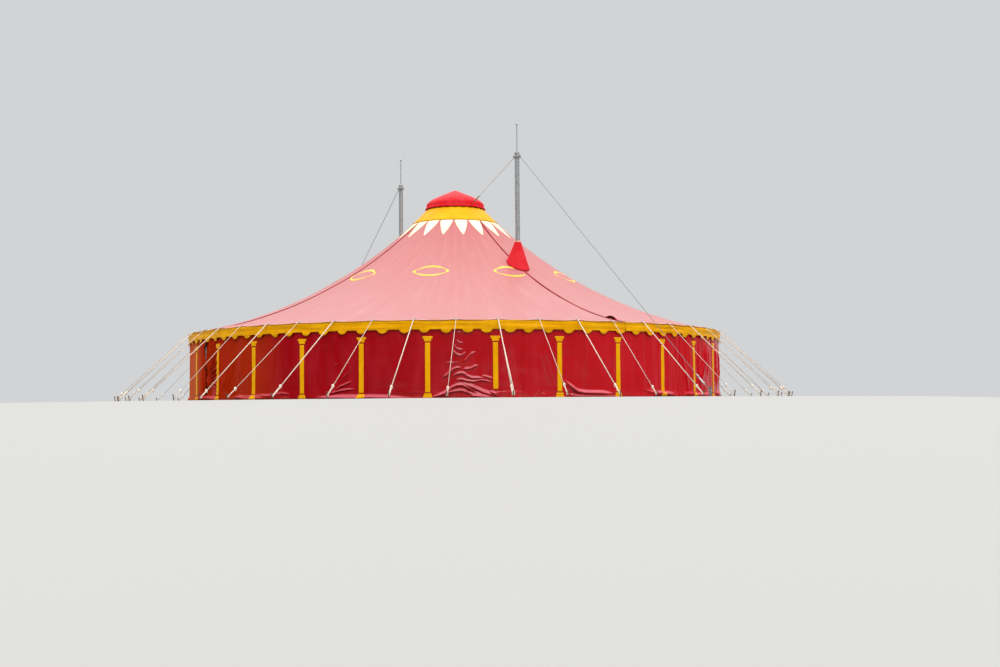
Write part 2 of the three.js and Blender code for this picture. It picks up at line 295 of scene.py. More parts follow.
def polar(tree, axes):
    """The distance from the middle in metres, and the bearing in radians."""
    squares = [node(tree, "Math", [axes[k], axes[k]], operation="MULTIPLY") for k in "XY"]
    radius = node(tree, "Math", [node(tree, "Math", squares, operation="ADD")], operation="SQRT")
    front = node(tree, "Math", [axes["Y"], -1.0], operation="MULTIPLY")
    return radius, node(tree, "Math", [axes["X"], front], operation="ARCTAN2")


def from_whole(tree, value):
    """How far a number is from the nearest whole one."""
    whole = node(tree, "Math", [value], operation="ROUND")
    past = node(tree, "Math", [value, whole], operation="SUBTRACT")
    return node(tree, "Math", [past], operation="ABSOLUTE")


def lap_lines(tree, radius, angle, step_degrees, width):
    """1 on a welded lap along each bearing that is a whole number of steps, 0 elsewhere."""
    step = math.radians(step_degrees)
    steps = node(tree, "Math", [angle, step], operation="DIVIDE")
    turn = node(tree, "Math", [from_whole(tree, steps), step], operation="MULTIPLY")
    away = node(tree, "Math", [turn, radius], operation="MULTIPLY")
    return node(tree, "MapRange", [away, width, width * 0.7])


def grained(tree, coordinates, laps, lap_share, grain_share):
    """A bump from the raised laps and the cloth's grain."""
    grain = node(tree, "TexNoise", {"Vector": coordinates, "Scale": 1 / GRAIN_M, "Detail": 2.0})
    fine = node(tree, "Math", [grain, grain_share], operation="MULTIPLY")
    relief = node(tree, "Math", [laps, lap_share, fine], operation="MULTIPLY_ADD")
    return node(tree, "Bump", {"Height": relief, "Strength": 0.5, "Distance": 0.004})


print("cloth grain drawn at %.0f mm" % (GRAIN_M * 1000))

# %% [markdown]
# The roof was red once; years of sun have bleached it to pink. Low down it is paler, partly as it
# is most bleached there and partly as a painted reflection of the sky, and rain has drawn pale
# streaks down the slope. Its laps run from the crown to each pole.

# %% Roof cloth
LAP_M = 0.05
FADE_M = 2.6
STREAK_M = 0.32
GRIME_M = 0.9
ROOF_GLOSS = 0.2


def roof_vinyl():
    material, tree = new_material("sun_bleached_coated_polyester")
    coordinates, axes = positions(tree)
    radius, angle = polar(tree, axes)
    patches = node(tree, "TexNoise", {"Vector": coordinates, "Scale": 1 / FADE_M, "Detail": 4.0})
    uneven = node(tree, "MapRange", [patches, 0.3, 0.7, -0.14, 0.14])
    # paler low down: partly bleaching, partly a painted reflection of the sky
    height = node(tree, "MapRange", [axes["Z"], 3.6, 9.5])
    sheen_and_fade = node(tree, "Math", [height, uneven], operation="ADD")
    base = tint(tree, colour("#A86A68"), sheen_and_fade, WHOLE, 1.0, "#AD5C5B")
    around = node(tree, "Math", [angle, 7.0], operation="MULTIPLY")
    down = node(tree, "Math", [radius, 0.12], operation="MULTIPLY")
    rain = node(tree, "CombineXYZ", [around, down])
    base = patchy(tree, base, rain, STREAK_M, 5.0, (0.48, 0.75), 0.09, "#CDA29B")
    base = patchy(tree, base, coordinates, GRIME_M, 6.0, (0.58, 0.8), 0.11, "#B98A7E")
    laps = lap_lines(tree, radius, angle, POLE_STEP, LAP_M)
    base = tint(tree, base, laps, WHOLE, 0.1, "#C98078")
    surface(tree, {"Base Color": base, "Roughness": 0.5, "Specular IOR Level": ROOF_GLOSS,
                   "Normal": grained(tree, coordinates, laps, 0.8, 0.15)})
    return material


pink_cloth = roof_vinyl()
print("roof cloth with laps %.0f mm wide" % (LAP_M * 1000))

# %% [markdown]
# The wall keeps its crimson better. Its colour is painted lighter at the front right and darker
# at the front left, as shade, and further left it is painted orange, as warm light reflected into
# the shade. The sheets in front are the glossiest; those further left are duller. Where a fold
# faces up, a pink highlight is painted on it as the sky's reflection; its underside is painted
# dark as shade, and mud has splashed its foot.

# %% Wall cloth
WALL_LAP_M = 0.03
WALL_LAP_STEP = 6.0
SHEET_PATCH_M = 1.6
MUD_M = 0.35
CHALK_M = 0.6
WALL_GLOSS = 0.34
LEFT_GLOSS = 0.12
# painted light and shade: from one X to another, in metres, the colour changes by this share to
# this colour; darker as shade at the front left, lighter at the front right, orange further left as
# warm light reflected into the shade
WALL_PAINTED_LIGHT = [((0.5, -2.0), 0.5, "#7E0008"), ((2.5, 7.5), 0.8, "#B80A16"),
             ((-7.6, -9.0), 0.9, "#9E2604"), ((-12.2, -12.8), 0.8, "#BE5C3A")]
# from one X to another the gloss falls from the first share to the second
GLOSS_FALLS = [(6.0, 11.0, 1.0, 0.12), (-6.5, -10.5, 1.0, 0.0)]


def wall_vinyl():
    material, tree = new_material("crimson_coated_polyester")
    coordinates, axes = positions(tree)
    radius, angle = polar(tree, axes)
    base = colour("#9E000B")
    base = patchy(tree, base, coordinates, SHEET_PATCH_M, 4.0, (0.3, 0.7), 1.0, "#AE0411")
    # painted shade and light across the wall, by X
    for from_to, amount, hex_code in WALL_PAINTED_LIGHT:
        base = tint(tree, base, axes["X"], from_to, amount, hex_code)
    laps = lap_lines(tree, radius, angle, WALL_LAP_STEP, WALL_LAP_M)
    base = tint(tree, base, laps, WHOLE, 0.3, "#7A0408")
    mud = node(tree, "TexNoise", {"Vector": coordinates, "Scale": 1 / MUD_M, "Detail": 6.0})
    spots = node(tree, "MapRange", [mud, 0.45, 0.65])
    low_down = node(tree, "MapRange", [axes["Z"], 0.3, 0.02])
    splash = node(tree, "Math", [low_down, spots], operation="MULTIPLY")
    base = tint(tree, base, splash, WHOLE, 0.35, "#8E4A3C")
    tall = node(tree, "Mapping", {"Vector": coordinates, "Scale": (1, 1, 0.3)})
    chalky = node(tree, "TexNoise", {"Vector": tall, "Scale": 1 / CHALK_M, "Detail": 5.0})
    base = tint(tree, base, chalky, (0.48, 0.72), 0.1, "#CC4456")
    facing = node(tree, "Attribute", output="Fac", attribute_name="facing")
    # painted highlight: where a fold faces up it is painted pink, as the sky's reflection
    base = tint(tree, base, facing, (0.22, 0.75), 0.58, "#DA6C7C")
    # painted shade: where a fold faces down it is painted dark
    base = tint(tree, base, facing, (-0.12, -0.6), 0.8, "#5C0008")
    gloss = node(tree, "MapRange", [axes["X"], -4.5, 0.5, LEFT_GLOSS, WALL_GLOSS])
    for fall in GLOSS_FALLS:
        share = node(tree, "MapRange", [axes["X"], *fall])
        gloss = node(tree, "Math", [gloss, share], operation="MULTIPLY")
    surface(tree, {"Base Color": base, "Specular IOR Level": gloss,
                   "Roughness": node(tree, "MapRange", [chalky, 0.3, 0.8, 0.11, 0.2]),
                   "Normal": grained(tree, coordinates, laps, 0.7, 0.12)})
    return material


crimson_cloth = wall_vinyl()
print("wall cloth with laps %.0f mm wide" % (WALL_LAP_M * 1000))

# %% [markdown]
# The yellow, cream and red pieces are of the same coated cloth, each in one colour that is worn
# paler in patches and specked with dirt. The valance keeps the creases of being folded away each
# season, and faint dark lines are painted along them, as their shade and the dirt caught in them.
# The eave belt is woven webbing, rough and dull.

# %% Plain cloths
WEAR_M = 0.8
SPECK_M = 0.22
CREASE_M = 0.105
SWAY_M = 1.1
SHARP_M = 0.45
PLAIN_GLOSS = 0.04


def plain_vinyl(name, main, worn, dirt_and_crease_shade, roughness=0.42, creased=False):
    """Cloth of one colour, worn in patches, a little dirty, with creases painted dark as shade and
    dirt.
    """
    material, tree = new_material(name)
    coordinates, axes = positions(tree)
    base = patchy(tree, colour(main), coordinates, WEAR_M, 5.0, (0.35, 0.7), 1.0, worn)
    base = patchy(tree, base, coordinates, SPECK_M, 6.0, (0.6, 0.85), 0.35, dirt_and_crease_shade)
    if creased:
        sway = node(tree, "TexNoise", {"Vector": coordinates, "Scale": 1 / SWAY_M, "Detail": 2.0})
        swayed = node(tree, "Math", [sway, 0.16, axes["Z"]], operation="MULTIPLY_ADD")
        folded = node(tree, "Math", [swayed, CREASE_M], operation="DIVIDE")
        thin = node(tree, "MapRange", [from_whole(tree, folded), 0.0, 0.17, 0.7, 0.0])
        wear = node(tree, "TexNoise", {"Vector": coordinates, "Scale": 1 / SHARP_M, "Detail": 3.0})
        sharp = node(tree, "MapRange", [wear, 0.42, 0.62])
        lines = node(tree, "Math", [thin, sharp], operation="MULTIPLY")
        # painted shade: the dark lines along the creases stand for their shade and the dirt in them
        base = tint(tree, base, lines, WHOLE, 1.0, dirt_and_crease_shade)
    grain = node(tree, "TexNoise", {"Vector": coordinates, "Scale": 1 / GRAIN_M, "Detail": 2.0})
    bump = node(tree, "Bump", {"Height": grain, "Strength": 0.35, "Distance": 0.002})
    surface(tree, {"Base Color": base, "Roughness": roughness, "Specular IOR Level": PLAIN_GLOSS,
                   "Normal": bump})
    return material


yellow_cloth = plain_vinyl("golden_yellow_coated_polyester", "#DA9700", "#E2A50C", "#9C640A")
valance_cloth = plain_vinyl("creased_yellow_coated_polyester", "#D89500", "#DFA30A", "#985A0A",
                            creased=True)
cream_cloth = plain_vinyl("cream_coated_polyester", "#F3E3B4", "#F8ECC8", "#C9B488")
lens_cloth = plain_vinyl("light_yellow_coated_polyester", "#E4B434", "#E9C258", "#B08C2C")
cap_cloth = plain_vinyl("red_coated_polyester", "#C8141E", "#D43038", "#7E1016")
seam_cloth = plain_vinyl("dark_crimson_lacing_strip", "#7C0E1C", "#8E1A26", "#4A0A10", 0.5)
webbing = plain_vinyl("woven_polyester_webbing", "#BF918B", "#CBA49E", "#8C6C64", 0.7)
print("six plain cloths and a webbing, creases %.0f mm apart" % (CREASE_M * 1000))

# %% [markdown]
# The hard parts are hot-dip galvanised steel: dull, pale grey zinc with a faint crystal spangle.
# Stakes are plain forged iron, hammered, rusty and dark. Ropes are spun from off-white
# polypropylene; their lay is drawn along the rope's own length with its UV map, with painted
# shade darkening the grooves between the strands. The masts' guys are wire rope, whose strands
# are too fine to show as more than an uneven grey.

# %% Steel, iron and rope
SPANGLE_M = 0.03
STAIN_M = 0.25
RUST_M = 0.05
LAY_M = 0.09
STRANDS = 3
WIRE_M = 0.02


def galvanised_steel():
    material, tree = new_material("hot_dip_galvanised_steel")
    coordinates = node(tree, "TexCoord", output="Object")
    spangle = node(tree, "TexVoronoi", {"Vector": coordinates, "Scale": 1 / SPANGLE_M}, "Color")
    value = node(tree, "SeparateColor", [spangle])
    base = tint(tree, colour("#9EA2A3"), value, WHOLE, 1.0, "#B9BCBC")
    base = patchy(tree, base, coordinates, STAIN_M, 5.0, (0.6, 0.8), 0.5, "#7C766C")
    surface(tree, {"Base Color": base, "Metallic": 1.0,
                   "Roughness": node(tree, "MapRange", [value, 0.0, 1.0, 0.38, 0.55])})
    return material


def forged_iron():
    material, tree = new_material("rusty_forged_iron")
    coordinates = node(tree, "TexCoord", output="Object")
    rust = node(tree, "TexNoise", {"Vector": coordinates, "Scale": 1 / RUST_M, "Detail": 6.0})
    base = tint(tree, colour("#3E3A38"), rust, (0.35, 0.65), 1.0, "#7A4A2E")
    bump = node(tree, "Bump", {"Height": rust, "Strength": 0.6, "Distance": 0.003})
    surface(tree, {"Base Color": base, "Metallic": 0.5, "Roughness": 0.75, "Normal": bump})
    return material


def spun_rope():
    material, tree = new_material("spun_polypropylene_rope")
    axes = node(tree, "SeparateXYZ", [node(tree, "UVMap", uv_map="UVMap")], None)
    turns = node(tree, "Math", [axes["Y"], 1 / LAY_M, axes["X"]], operation="MULTIPLY_ADD")
    wound = node(tree, "Math", [turns, 2 * math.pi * STRANDS], operation="MULTIPLY")
    lay = node(tree, "Math", [wound], operation="SINE")
    # painted shade: the grooves between the strands are darker, the crowns lighter
    base = tint(tree, colour("#AE9C84"), lay, (-1.0, 0.2), 1.0, "#DCCFBE")
    bump = node(tree, "Bump", {"Height": lay, "Strength": 0.6, "Distance": 0.004})
    surface(tree, {"Base Color": base, "Roughness": 0.7, "Normal": bump})
    return material


def wire_rope():
    material, tree = new_material("galvanised_wire_rope")
    coordinates = node(tree, "TexCoord", output="Object")
    base = patchy(tree, colour("#565A5C"), coordinates, WIRE_M, 3.0, WHOLE, 1.0, "#7E8284")
    surface(tree, {"Base Color": base, "Metallic": 0.6, "Roughness": 0.65})
    return material


steel = galvanised_steel()
wire = wire_rope()
iron = forged_iron()
rope = spun_rope()
print("steel, iron and rope finishes ready")

# %% [markdown]
# Cloth pieces start as one flat grid each, made by one bmesh operator. A function then says
# where each point of the flat cut hangs on the tent, given how far across (0 to 1) and how far
# up (0 to 1) it is. The grid's own UV map keeps the flat cut, and an attribute named facing notes
# how far each point faces up (1) or down (-1). Solidify gives the cloth its few millimetres,
# inwards, so that the outer face is where the function puts it.

# %% Cloth helper
CLOTH_M = 0.004


def thickened(made, thickness=CLOTH_M):
    solidify = made.modifiers.new("thickness", "SOLIDIFY")
    solidify.thickness = thickness
    solidify.offset = -1
    return made


def cloth(name, across, up, where, materials, thickness=CLOTH_M, keep=None, paint=None):
    """A piece of cloth; keep leaves holes in it, and paint says which faces get the second finish."""
    bm = bmesh.new()
    bmesh.ops.create_grid(bm, x_segments=across, y_segments=up, size=0.5, calc_uvs=True)
    flat = {v: (v.co.x + 0.5, v.co.y + 0.5) for v in bm.verts}
    if paint:
        for face in bm.faces:
            middle = face.calc_center_median()
            face.material_index = int(paint(middle.x + 0.5, middle.y + 0.5))
    for v, (u, w) in flat.items():
        v.co = where(u, w)
    bm.normal_update()
    facing = bm.verts.layers.float.new("facing")
    for v in bm.verts:
        v[facing] = v.normal.z
    if keep:
        lost = [face for face in bm.faces if not keep(face.calc_center_median())]
        bmesh.ops.delete(bm, geom=lost, context="FACES")
    return thickened(finished(bm, name, materials), thickness)


print("cloth is %.0f mm thick unless a piece says otherwise" % (CLOTH_M * 1000))

# %% [markdown]
# Poles, ropes and fittings are straight bars and balls. Each is a small function that adds its
# operator's shape to a bmesh, so that many of them can share one mesh. A bar gets UVs that run
# along it in metres, for the lay of a rope. Every finished piece rides on the tent's one body.

# %% Bars, balls and pieces


def joined(name, pieces, material):
    """One mesh from several bmesh-made parts, each a function that fills the bmesh."""
    bm = bmesh.new()
    bm.loops.layers.uv.new("UVMap")
    for fill in pieces:
        fill(bm)
    return finished(bm, name, [material], smooth_all=False)


def rod(start, end, radius, sides=8):
    """Returns a function that adds a straight round bar, with UVs in metres along it."""
    axis = end - start
    turn = axis.to_track_quat("Z", "Y").to_matrix().to_4x4()
    frame_at = Matrix.Translation((start + end) / 2) @ turn

    def fill(bm):
        made = bmesh.ops.create_cone(
            bm, cap_ends=True, cap_tris=False, segments=sides, radius1=radius, radius2=radius,
            depth=axis.length, matrix=frame_at)
        uv = bm.loops.layers.uv["UVMap"]
        back = frame_at.inverted()
        for face in {f for v in made["verts"] for f in v.link_faces}:
            face.smooth = len(face.verts) == 4
            for loop in face.loops:
                local = back @ loop.vert.co
                loop[uv].uv = (math.atan2(local.y, local.x) / (2 * math.pi), local.z)
    return fill


def upright(radius, bearing, low, high, thick, sides):
    """A round bar that stands upright on its bearing, from one height to another."""
    return rod(place(radius, bearing, low), place(radius, bearing, high), thick, sides)


def ball(centre, radius, stretch=(1, 1, 1)):
    size = Matrix.Diagonal((*stretch, 1))

    def fill(bm):
        made = bmesh.ops.create_icosphere(
            bm, subdivisions=2, radius=radius, matrix=Matrix.Translation(centre) @ size)
        for face in {f for v in made["verts"] for f in v.link_faces}:
            face.smooth = True
    return fill


def dress(piece, slot, *nodes):
    """A piece rides on the tent's one body and may stand for CAD nodes; its slot is not used."""
    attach(piece, "root")
    if nodes:
        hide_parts(*nodes)
    return piece


print("helpers for bars ready")

# %% [markdown]
# The roof is four quarters of cloth, laced together along their edges and pulled tight between
# the crown ring and the eave. Each pole pushes up a low ridge that dies out up the slope, and
# between poles the edge runs nearly straight. Where two quarters meet at a mast, a hole is left.

# %% Roof
ROOF_ACROSS = 120
ROOF_UP = 60
RIDGE_M = 0.018
DRAWN_M = 0.014  # how far the cloth is drawn in and out between the ridges
SEAM_END = 13.95
MOUTH_TOP = 12.45
MOUTH_END = 13.42
MOUTH_WIDTH = 0.2
MAST_HOLE = 0.3


def roof_point(radius, bearing, lift=0.0):
    flat_run = 1 - (1 - chord(bearing)) * (radius / RADIUS) ** 2
    near_eave = smooth(8.0, 13.6, radius)
    ridge = RIDGE_M * near_eave * math.cos(math.radians(bearing * POLES))
    drawn = DRAWN_M * noise.noise(Vector((bearing / 9, radius / 2.2, 3.1)))
    drawn *= smooth(RADIUS, 12.5, radius) * smooth(CROWN, 4.0, radius)
    return place(radius * flat_run, bearing, roof_height(radius) + ridge + drawn - RIDGE_M + lift)


def from_mast(n, point):
    """Distance on the ground plan from a point to the middle of a mast."""
    return (point.xy - place(MAST_AT, mast_bearing(n)).xy).length


def clear_of_holes(point):
    """False where a mast passes through or a seam stands open."""
    if min(from_mast(n, point) for n in range(MASTS)) < MAST_HOLE:
        return False
    for n in range(QUARTERS):
        out = place(1, seam_bearing(n)).xy
        along = point.xy.dot(out)
        aside = out.x * point.y - out.y * point.x
        if MOUTH_TOP < along < MOUTH_END and 0 < aside < MOUTH_WIDTH:
            return False
    return True


def roof_quarter(n):
    def where(u, w):
        radius = RADIUS + (CROWN + 0.01 - RADIUS) * w
        return roof_point(radius, seam_bearing(n) + QUARTER_STEP * u)
    piece = cloth("roof_cloth_%d" % (n + 1), ROOF_ACROSS, ROOF_UP, where, [pink_cloth],
                  keep=clear_of_holes)
    return dress(piece, "roof_cloth", "roof_quarter_%d" % (n + 1))


roof_pieces = [roof_quarter(n) for n in range(QUARTERS)]
print("roof: %d quarters, %d points each" % (QUARTERS, len(roof_pieces[0].data.vertices)))

# %% [markdown]
# A dark crimson strip is rolled over the lacing along each seam. A short stretch above the eave
# isn't laced: there the edge of one quarter stands up in a low arch, and one sees the dark inside
# of the tent under its crimson hem. The arch at the left seam has sunk almost flat.

# %% Seams
STRIP_WIDTH = 0.11
STRIP_TOP = 2.28
STRIP_LIFT = 0.006
STRIP_ROLL = 0.032
STRIP_ASIDE = 0.05  # how far it follows the open edge at the arch
SLEEVE_CLEAR = 0.42
FLAP_HEIGHTS = (0.17, 0.12, 0.14, 0.03)
FLAP_LEAN = 1.25  # over 1 puts the arch's crest nearer to the eave
FLAP_OVERLAP = 0.1
FLAP_HEM = 0.09


def seam_strip(n):
    bearing = seam_bearing(n)

    def where(u, w):
        radius = SEAM_END + (STRIP_TOP - SEAM_END) * w
        lip = STRIP_ASIDE * smooth(MOUTH_TOP - 0.1, MOUTH_TOP + 0.15, radius)
        lip *= smooth(MOUTH_END + 0.15, MOUTH_END - 0.1, radius)
        aside = (u - 0.5) * STRIP_WIDTH - lip + 0.006 * math.sin(radius * 40)
        roll = STRIP_ROLL * smooth(STRIP_TOP + 0.05, STRIP_TOP + 0.5, radius)
        lift = STRIP_LIFT + roll * (1 - (2 * u - 1) ** 2)
        return roof_point(radius, bearing + math.degrees(aside / radius), lift)
    # the first and third seams pass under a mast's sleeve
    piece = cloth("seam_strip_%d" % (n + 1), 4, 240, where, [seam_cloth],
                  keep=lambda point: n % 2 or from_mast(n // 2, point) > SLEEVE_CLEAR)
    return dress(piece, "crimson_cloth")


def seam_flap(n):
    bearing = seam_bearing(n)

    def where(u, w):
        radius = MOUTH_TOP - FLAP_OVERLAP + (MOUTH_END - MOUTH_TOP + 2 * FLAP_OVERLAP) * u
        aside = MOUTH_WIDTH * 2.2 * w - 0.02 * math.sin(math.pi * u)
        arch = math.sin(math.pi * u ** FLAP_LEAN) ** 1.6
        lift = FLAP_HEIGHTS[n] * arch * (1 - smooth(0, 1, w))
        return roof_point(radius, bearing + math.degrees(aside / radius), lift + 0.004)
    piece = cloth("seam_flap_%d" % (n + 1), 28, 12, where, [pink_cloth, cap_cloth],
                  paint=lambda u, w: w < FLAP_HEM)
    return dress(piece, "roof_cloth")


seam_strips = [seam_strip(n) for n in range(QUARTERS)]
seam_flaps = [seam_flap(n) for n in range(QUARTERS)]
print("seams: %d strips %.0f mm wide, each with an open arch near the eave" % (
    QUARTERS, STRIP_WIDTH * 1000))

# %% [markdown]
# Ten eye-shaped ornaments are welded on the roof like a girdle: a yellow outline round a middle
# that has bleached to the roof's own pink. Higher up, twenty cream rays point down from the
# crown's yellow collar.

# %% Roof ornaments
LENSES = 10
LENS_STEP = 360 / LENSES
LENS_OFFSET = 8.0
LENS_MIDDLE = 6.42
LENS_HALF_WIDTH = 0.95
LENS_HALF_HEIGHT = 0.52
RAYS = 20
RAY_STEP = 360 / RAYS
RAY_TOP = 2.3
RAY_TIP = 3.35
ORNAMENT_LIFT = 0.008


def lens(n):
    middle = SEAM - LENS_OFFSET + LENS_STEP * n

    def where(u, w):
        across = 2 * u - 1
        half = LENS_HALF_HEIGHT * (1 - across * across) + 0.004
        radius = LENS_MIDDLE - (2 * w - 1) * half
        aside = math.degrees(across * LENS_HALF_WIDTH / LENS_MIDDLE)
        return roof_point(radius, middle + aside, ORNAMENT_LIFT)
    piece = cloth("roof_lens_%02d" % (n + 1), 40, 20, where, [lens_cloth, pink_cloth],
                  paint=lambda u, w: abs(2 * w - 1) < 0.7 and abs(2 * u - 1) < 0.82)
    return dress(piece, "yellow_cloth")


def ray(n):
    middle = SEAM - LENS_OFFSET + RAY_STEP * n

    def where(u, w):
        radius = RAY_TIP + (RAY_TOP - RAY_TIP) * w
        half = 0.5 * RAY_STEP * w ** 0.9 * 0.96
        return roof_point(radius, middle + (2 * u - 1) * half, ORNAMENT_LIFT)
    return dress(cloth("crown_ray_%02d" % (n + 1), 6, 16, where, [cream_cloth]), "yellow_cloth")


lenses = [lens(n) for n in range(LENSES)]
rays = [ray(n) for n in range(RAYS)]
print("ornaments: %d lenses, %d rays" % (LENSES, RAYS))

# %% [markdown]
# The wall hangs from the eave belt in ten sheets. It is cut a little long and a little wide, so
# it carries soft upright waves, creases where it was folded for the road, and slack folds where
# its foot meets the ground. The deeper folds are placed one by one, as lines of points with a
# bearing and a height. In the bay at bearing 0 the sheet was pulled up in the middle and let
# down again, which left swags above and arches below.

# %% Folds
# rise, width and then the points of each fold, in metres and degrees
PULLED_UP = [
    (0.022, 0.09, [(0.0, 2.92), (0.6, 2.84), (1.4, 2.93)]),
    (0.024, 0.09, [(-0.1, 2.56), (0.5, 2.42), (1.4, 2.40)]),
    (0.030, 0.10, [(-0.4, 2.40), (-0.1, 2.20), (0.5, 2.11), (1.4, 2.14)]),
    (0.034, 0.11, [(-0.8, 2.16), (-0.2, 1.95), (0.6, 1.86), (1.3, 1.91), (1.9, 2.08)]),
    (0.020, 0.09, [(-2.2, 1.60), (-1.6, 1.56), (-0.4, 1.54), (0.7, 1.57)]),
    (0.034, 0.12, [(0.9, 1.50), (1.9, 1.71), (2.7, 1.92), (3.7, 2.05)]),
    (0.050, 0.16, [(-2.9, 0.86), (-1.7, 1.01), (-0.9, 1.19), (-0.2, 1.30), (0.6, 1.33),
                   (1.2, 1.40)]),
    (0.042, 0.15, [(0.8, 1.26), (1.7, 1.27), (2.6, 1.30), (3.3, 1.38), (4.2, 1.44)]),
    (0.048, 0.14, [(-1.3, 0.80), (-0.4, 1.00), (0.5, 1.08), (1.2, 1.09), (1.9, 0.98), (2.9, 0.88),
                   (4.4, 0.89), (5.8, 0.84)]),
    (0.044, 0.13, [(-0.8, 0.64), (0.1, 0.79), (0.9, 0.83), (1.8, 0.77), (3.1, 0.73), (4.4, 0.79),
                   (5.7, 0.73), (6.9, 0.64)]),
    (0.060, 0.17, [(-4.3, 0.12), (-2.7, 0.18), (-1.5, 0.34), (-0.6, 0.50), (0.4, 0.58),
                   (1.2, 0.57), (2.2, 0.44), (3.2, 0.30), (4.4, 0.16)]),
    (0.070, 0.20, [(1.0, 0.70), (2.2, 0.56), (3.1, 0.46), (4.4, 0.32), (5.7, 0.20), (7.0, 0.09)]),
    (0.060, 0.13, [(-4.8, 0.08), (-3.7, 0.12), (-2.4, 0.19), (-1.2, 0.28), (-0.1, 0.33),
                   (0.8, 0.34), (1.5, 0.31), (2.5, 0.21), (3.7, 0.10)]),
    (0.120, 0.24, [(2.2, 0.13), (3.6, 0.10), (5.0, 0.08), (6.6, 0.05)]),
    (0.034, 0.12, [(4.2, 0.99), (5.7, 0.91), (6.8, 0.80)]),
    (0.050, 0.12, [(5.8, 0.35), (6.7, 0.20), (7.5, 0.05)])]
TIED = [
    (0.040, 0.13, [(-58.3, 1.02), (-57.7, 1.45), (-57.2, 2.10), (-56.9, 2.85)]),
    (0.045, 0.13, [(-58.1, 0.98), (-57.1, 1.30), (-56.2, 1.85), (-55.5, 2.70)]),
    (0.040, 0.12, [(-57.9, 0.93), (-56.4, 1.12), (-55.0, 1.60), (-54.2, 2.30)]),
    (0.040, 0.12, [(-58.2, 0.85), (-57.4, 0.50), (-57.0, 0.12)]),
    (0.035, 0.12, [(-57.9, 0.83), (-56.6, 0.60), (-55.6, 0.25)])]
SLACK = [
    (0.120, 0.20, [(-27.5, 0.05), (-25.0, 0.08), (-22.0, 0.09), (-19.0, 0.08), (-15.5, 0.09),
                   (-11.5, 0.06), (-7.8, 0.03)]),
    (0.045, 0.13, [(-24.0, 0.18), (-22.0, 0.34), (-20.2, 0.42), (-18.0, 0.45)]),
    (0.045, 0.12, [(-22.7, 0.30), (-21.3, 0.56), (-20.0, 0.68), (-18.6, 0.84)]),
    (0.040, 0.12, [(-21.8, 0.72), (-20.6, 0.96), (-19.5, 1.24), (-18.9, 1.62), (-18.2, 2.05)]),
    (0.016, 0.09, [(-22.9, 1.52), (-22.0, 1.55), (-21.2, 1.53)]),
    (0.125, 0.20, [(19.2, 0.92), (20.4, 0.66), (21.4, 0.44), (22.4, 0.28), (24.3, 0.22),
                   (27.5, 0.20), (31.0, 0.16)]),
    (0.100, 0.16, [(20.0, 0.16), (22.0, 0.09), (24.5, 0.07), (28.0, 0.06), (32.0, 0.05)]),
    (0.030, 0.10, [(14.4, 0.36), (15.3, 0.22), (16.2, 0.07)]),
    (0.040, 0.14, [(15.2, 2.20), (15.9, 1.60), (16.7, 0.95), (17.9, 0.35)]),
    (0.035, 0.13, [(16.0, 2.30), (16.8, 1.70), (17.5, 1.10), (18.6, 0.45)]),
    (0.050, 0.34, [(-47.0, 2.60), (-47.8, 1.90), (-48.8, 1.20), (-50.3, 0.50)]),
    (0.050, 0.30, [(-48.2, 2.30), (-49.3, 1.60), (-51.0, 0.90), (-52.4, 0.30)]),
    (0.040, 0.30, [(-44.5, 2.50), (-45.2, 1.70), (-46.4, 0.90)]),
    (0.045, 0.16, [(-40.5, 0.30), (-37.5, 0.20), (-34.0, 0.30), (-31.0, 0.16)]),
    (0.055, 0.18, [(37.0, 0.42), (39.5, 0.26), (43.0, 0.20), (47.5, 0.12)]),
    (0.050, 0.26, [(49.0, 2.30), (50.5, 1.50), (51.5, 0.80), (51.9, 0.30)]),
    (0.055, 0.28, [(57.5, 2.50), (56.8, 1.70), (57.6, 0.90), (58.5, 0.30)]),
    (0.050, 0.24, [(61.0, 2.60), (60.2, 1.90), (60.6, 1.10)]),
    (0.060, 0.26, [(70.0, 2.70), (69.2, 1.90), (69.6, 1.00), (70.6, 0.30)]),
    (0.055, 0.24, [(73.5, 2.60), (74.1, 1.60), (73.4, 0.60)])]
# the wall at the right and behind gets the same slack folds, turned by three and by five sheets,
# as far as bearing 180
FOLDS = PULLED_UP + TIED + SLACK + [
    (rise, width, [(bearing + turn, height) for bearing, height in points])
    for turn in (3 * SHEET_STEP, 5 * SHEET_STEP)
    for rise, width, points in SLACK if points[-1][0] + turn < 180]
print("folds: %d lines of points" % len(FOLDS))

# %% [markdown]
# Each line of points is eased into a smooth curve. A point of the cloth then looks for the
# nearest place on each curve: the closer it is, the further it is pushed out. The fold tapers at
# both ends, and its slope below the crest is steeper, as gravity pulls slack cloth down.

# %% How folds push the cloth
FOLD_STRENGTH = 1.35
FOLD_SHARPNESS = 1.7
FOLD_WIDTH = 0.85


def eased(points):
    """A smooth line through the points, three steps for each stretch."""
    ends = [points[0], *points, points[-1]]
    line = [points[0]]
    for a, b, c, d in zip(ends, ends[1:], ends[2:], ends[3:]):
        for t in (1 / 3, 2 / 3, 1):
            bends = [(2 * a[k] - 5 * b[k] + 4 * c[k] - d[k],
                      3 * b[k] - a[k] - 3 * c[k] + d[k]) for k in (0, 1)]
            line.append(tuple(b[k] + 0.5 * t * (c[k] - a[k] + t * (bends[k][0] + t * bends[k][1]))
                              for k in (0, 1)))
    return line


def prepared(rise, width, points):
    """A fold in metres along the wall, with the box in which it can be felt."""
    line = eased([(math.radians(bearing) * WALL_RADIUS, height) for bearing, height in points])
    width *= FOLD_WIDTH
    length = sum(math.dist(a, b) for a, b in zip(line, line[1:]))
    along, heights = zip(*line)
    box = (min(along) - width, max(along) + width, min(heights) - width, max(heights) + width)
    return rise, width, line, length, box


READY = [prepared(*fold) for fold in FOLDS]


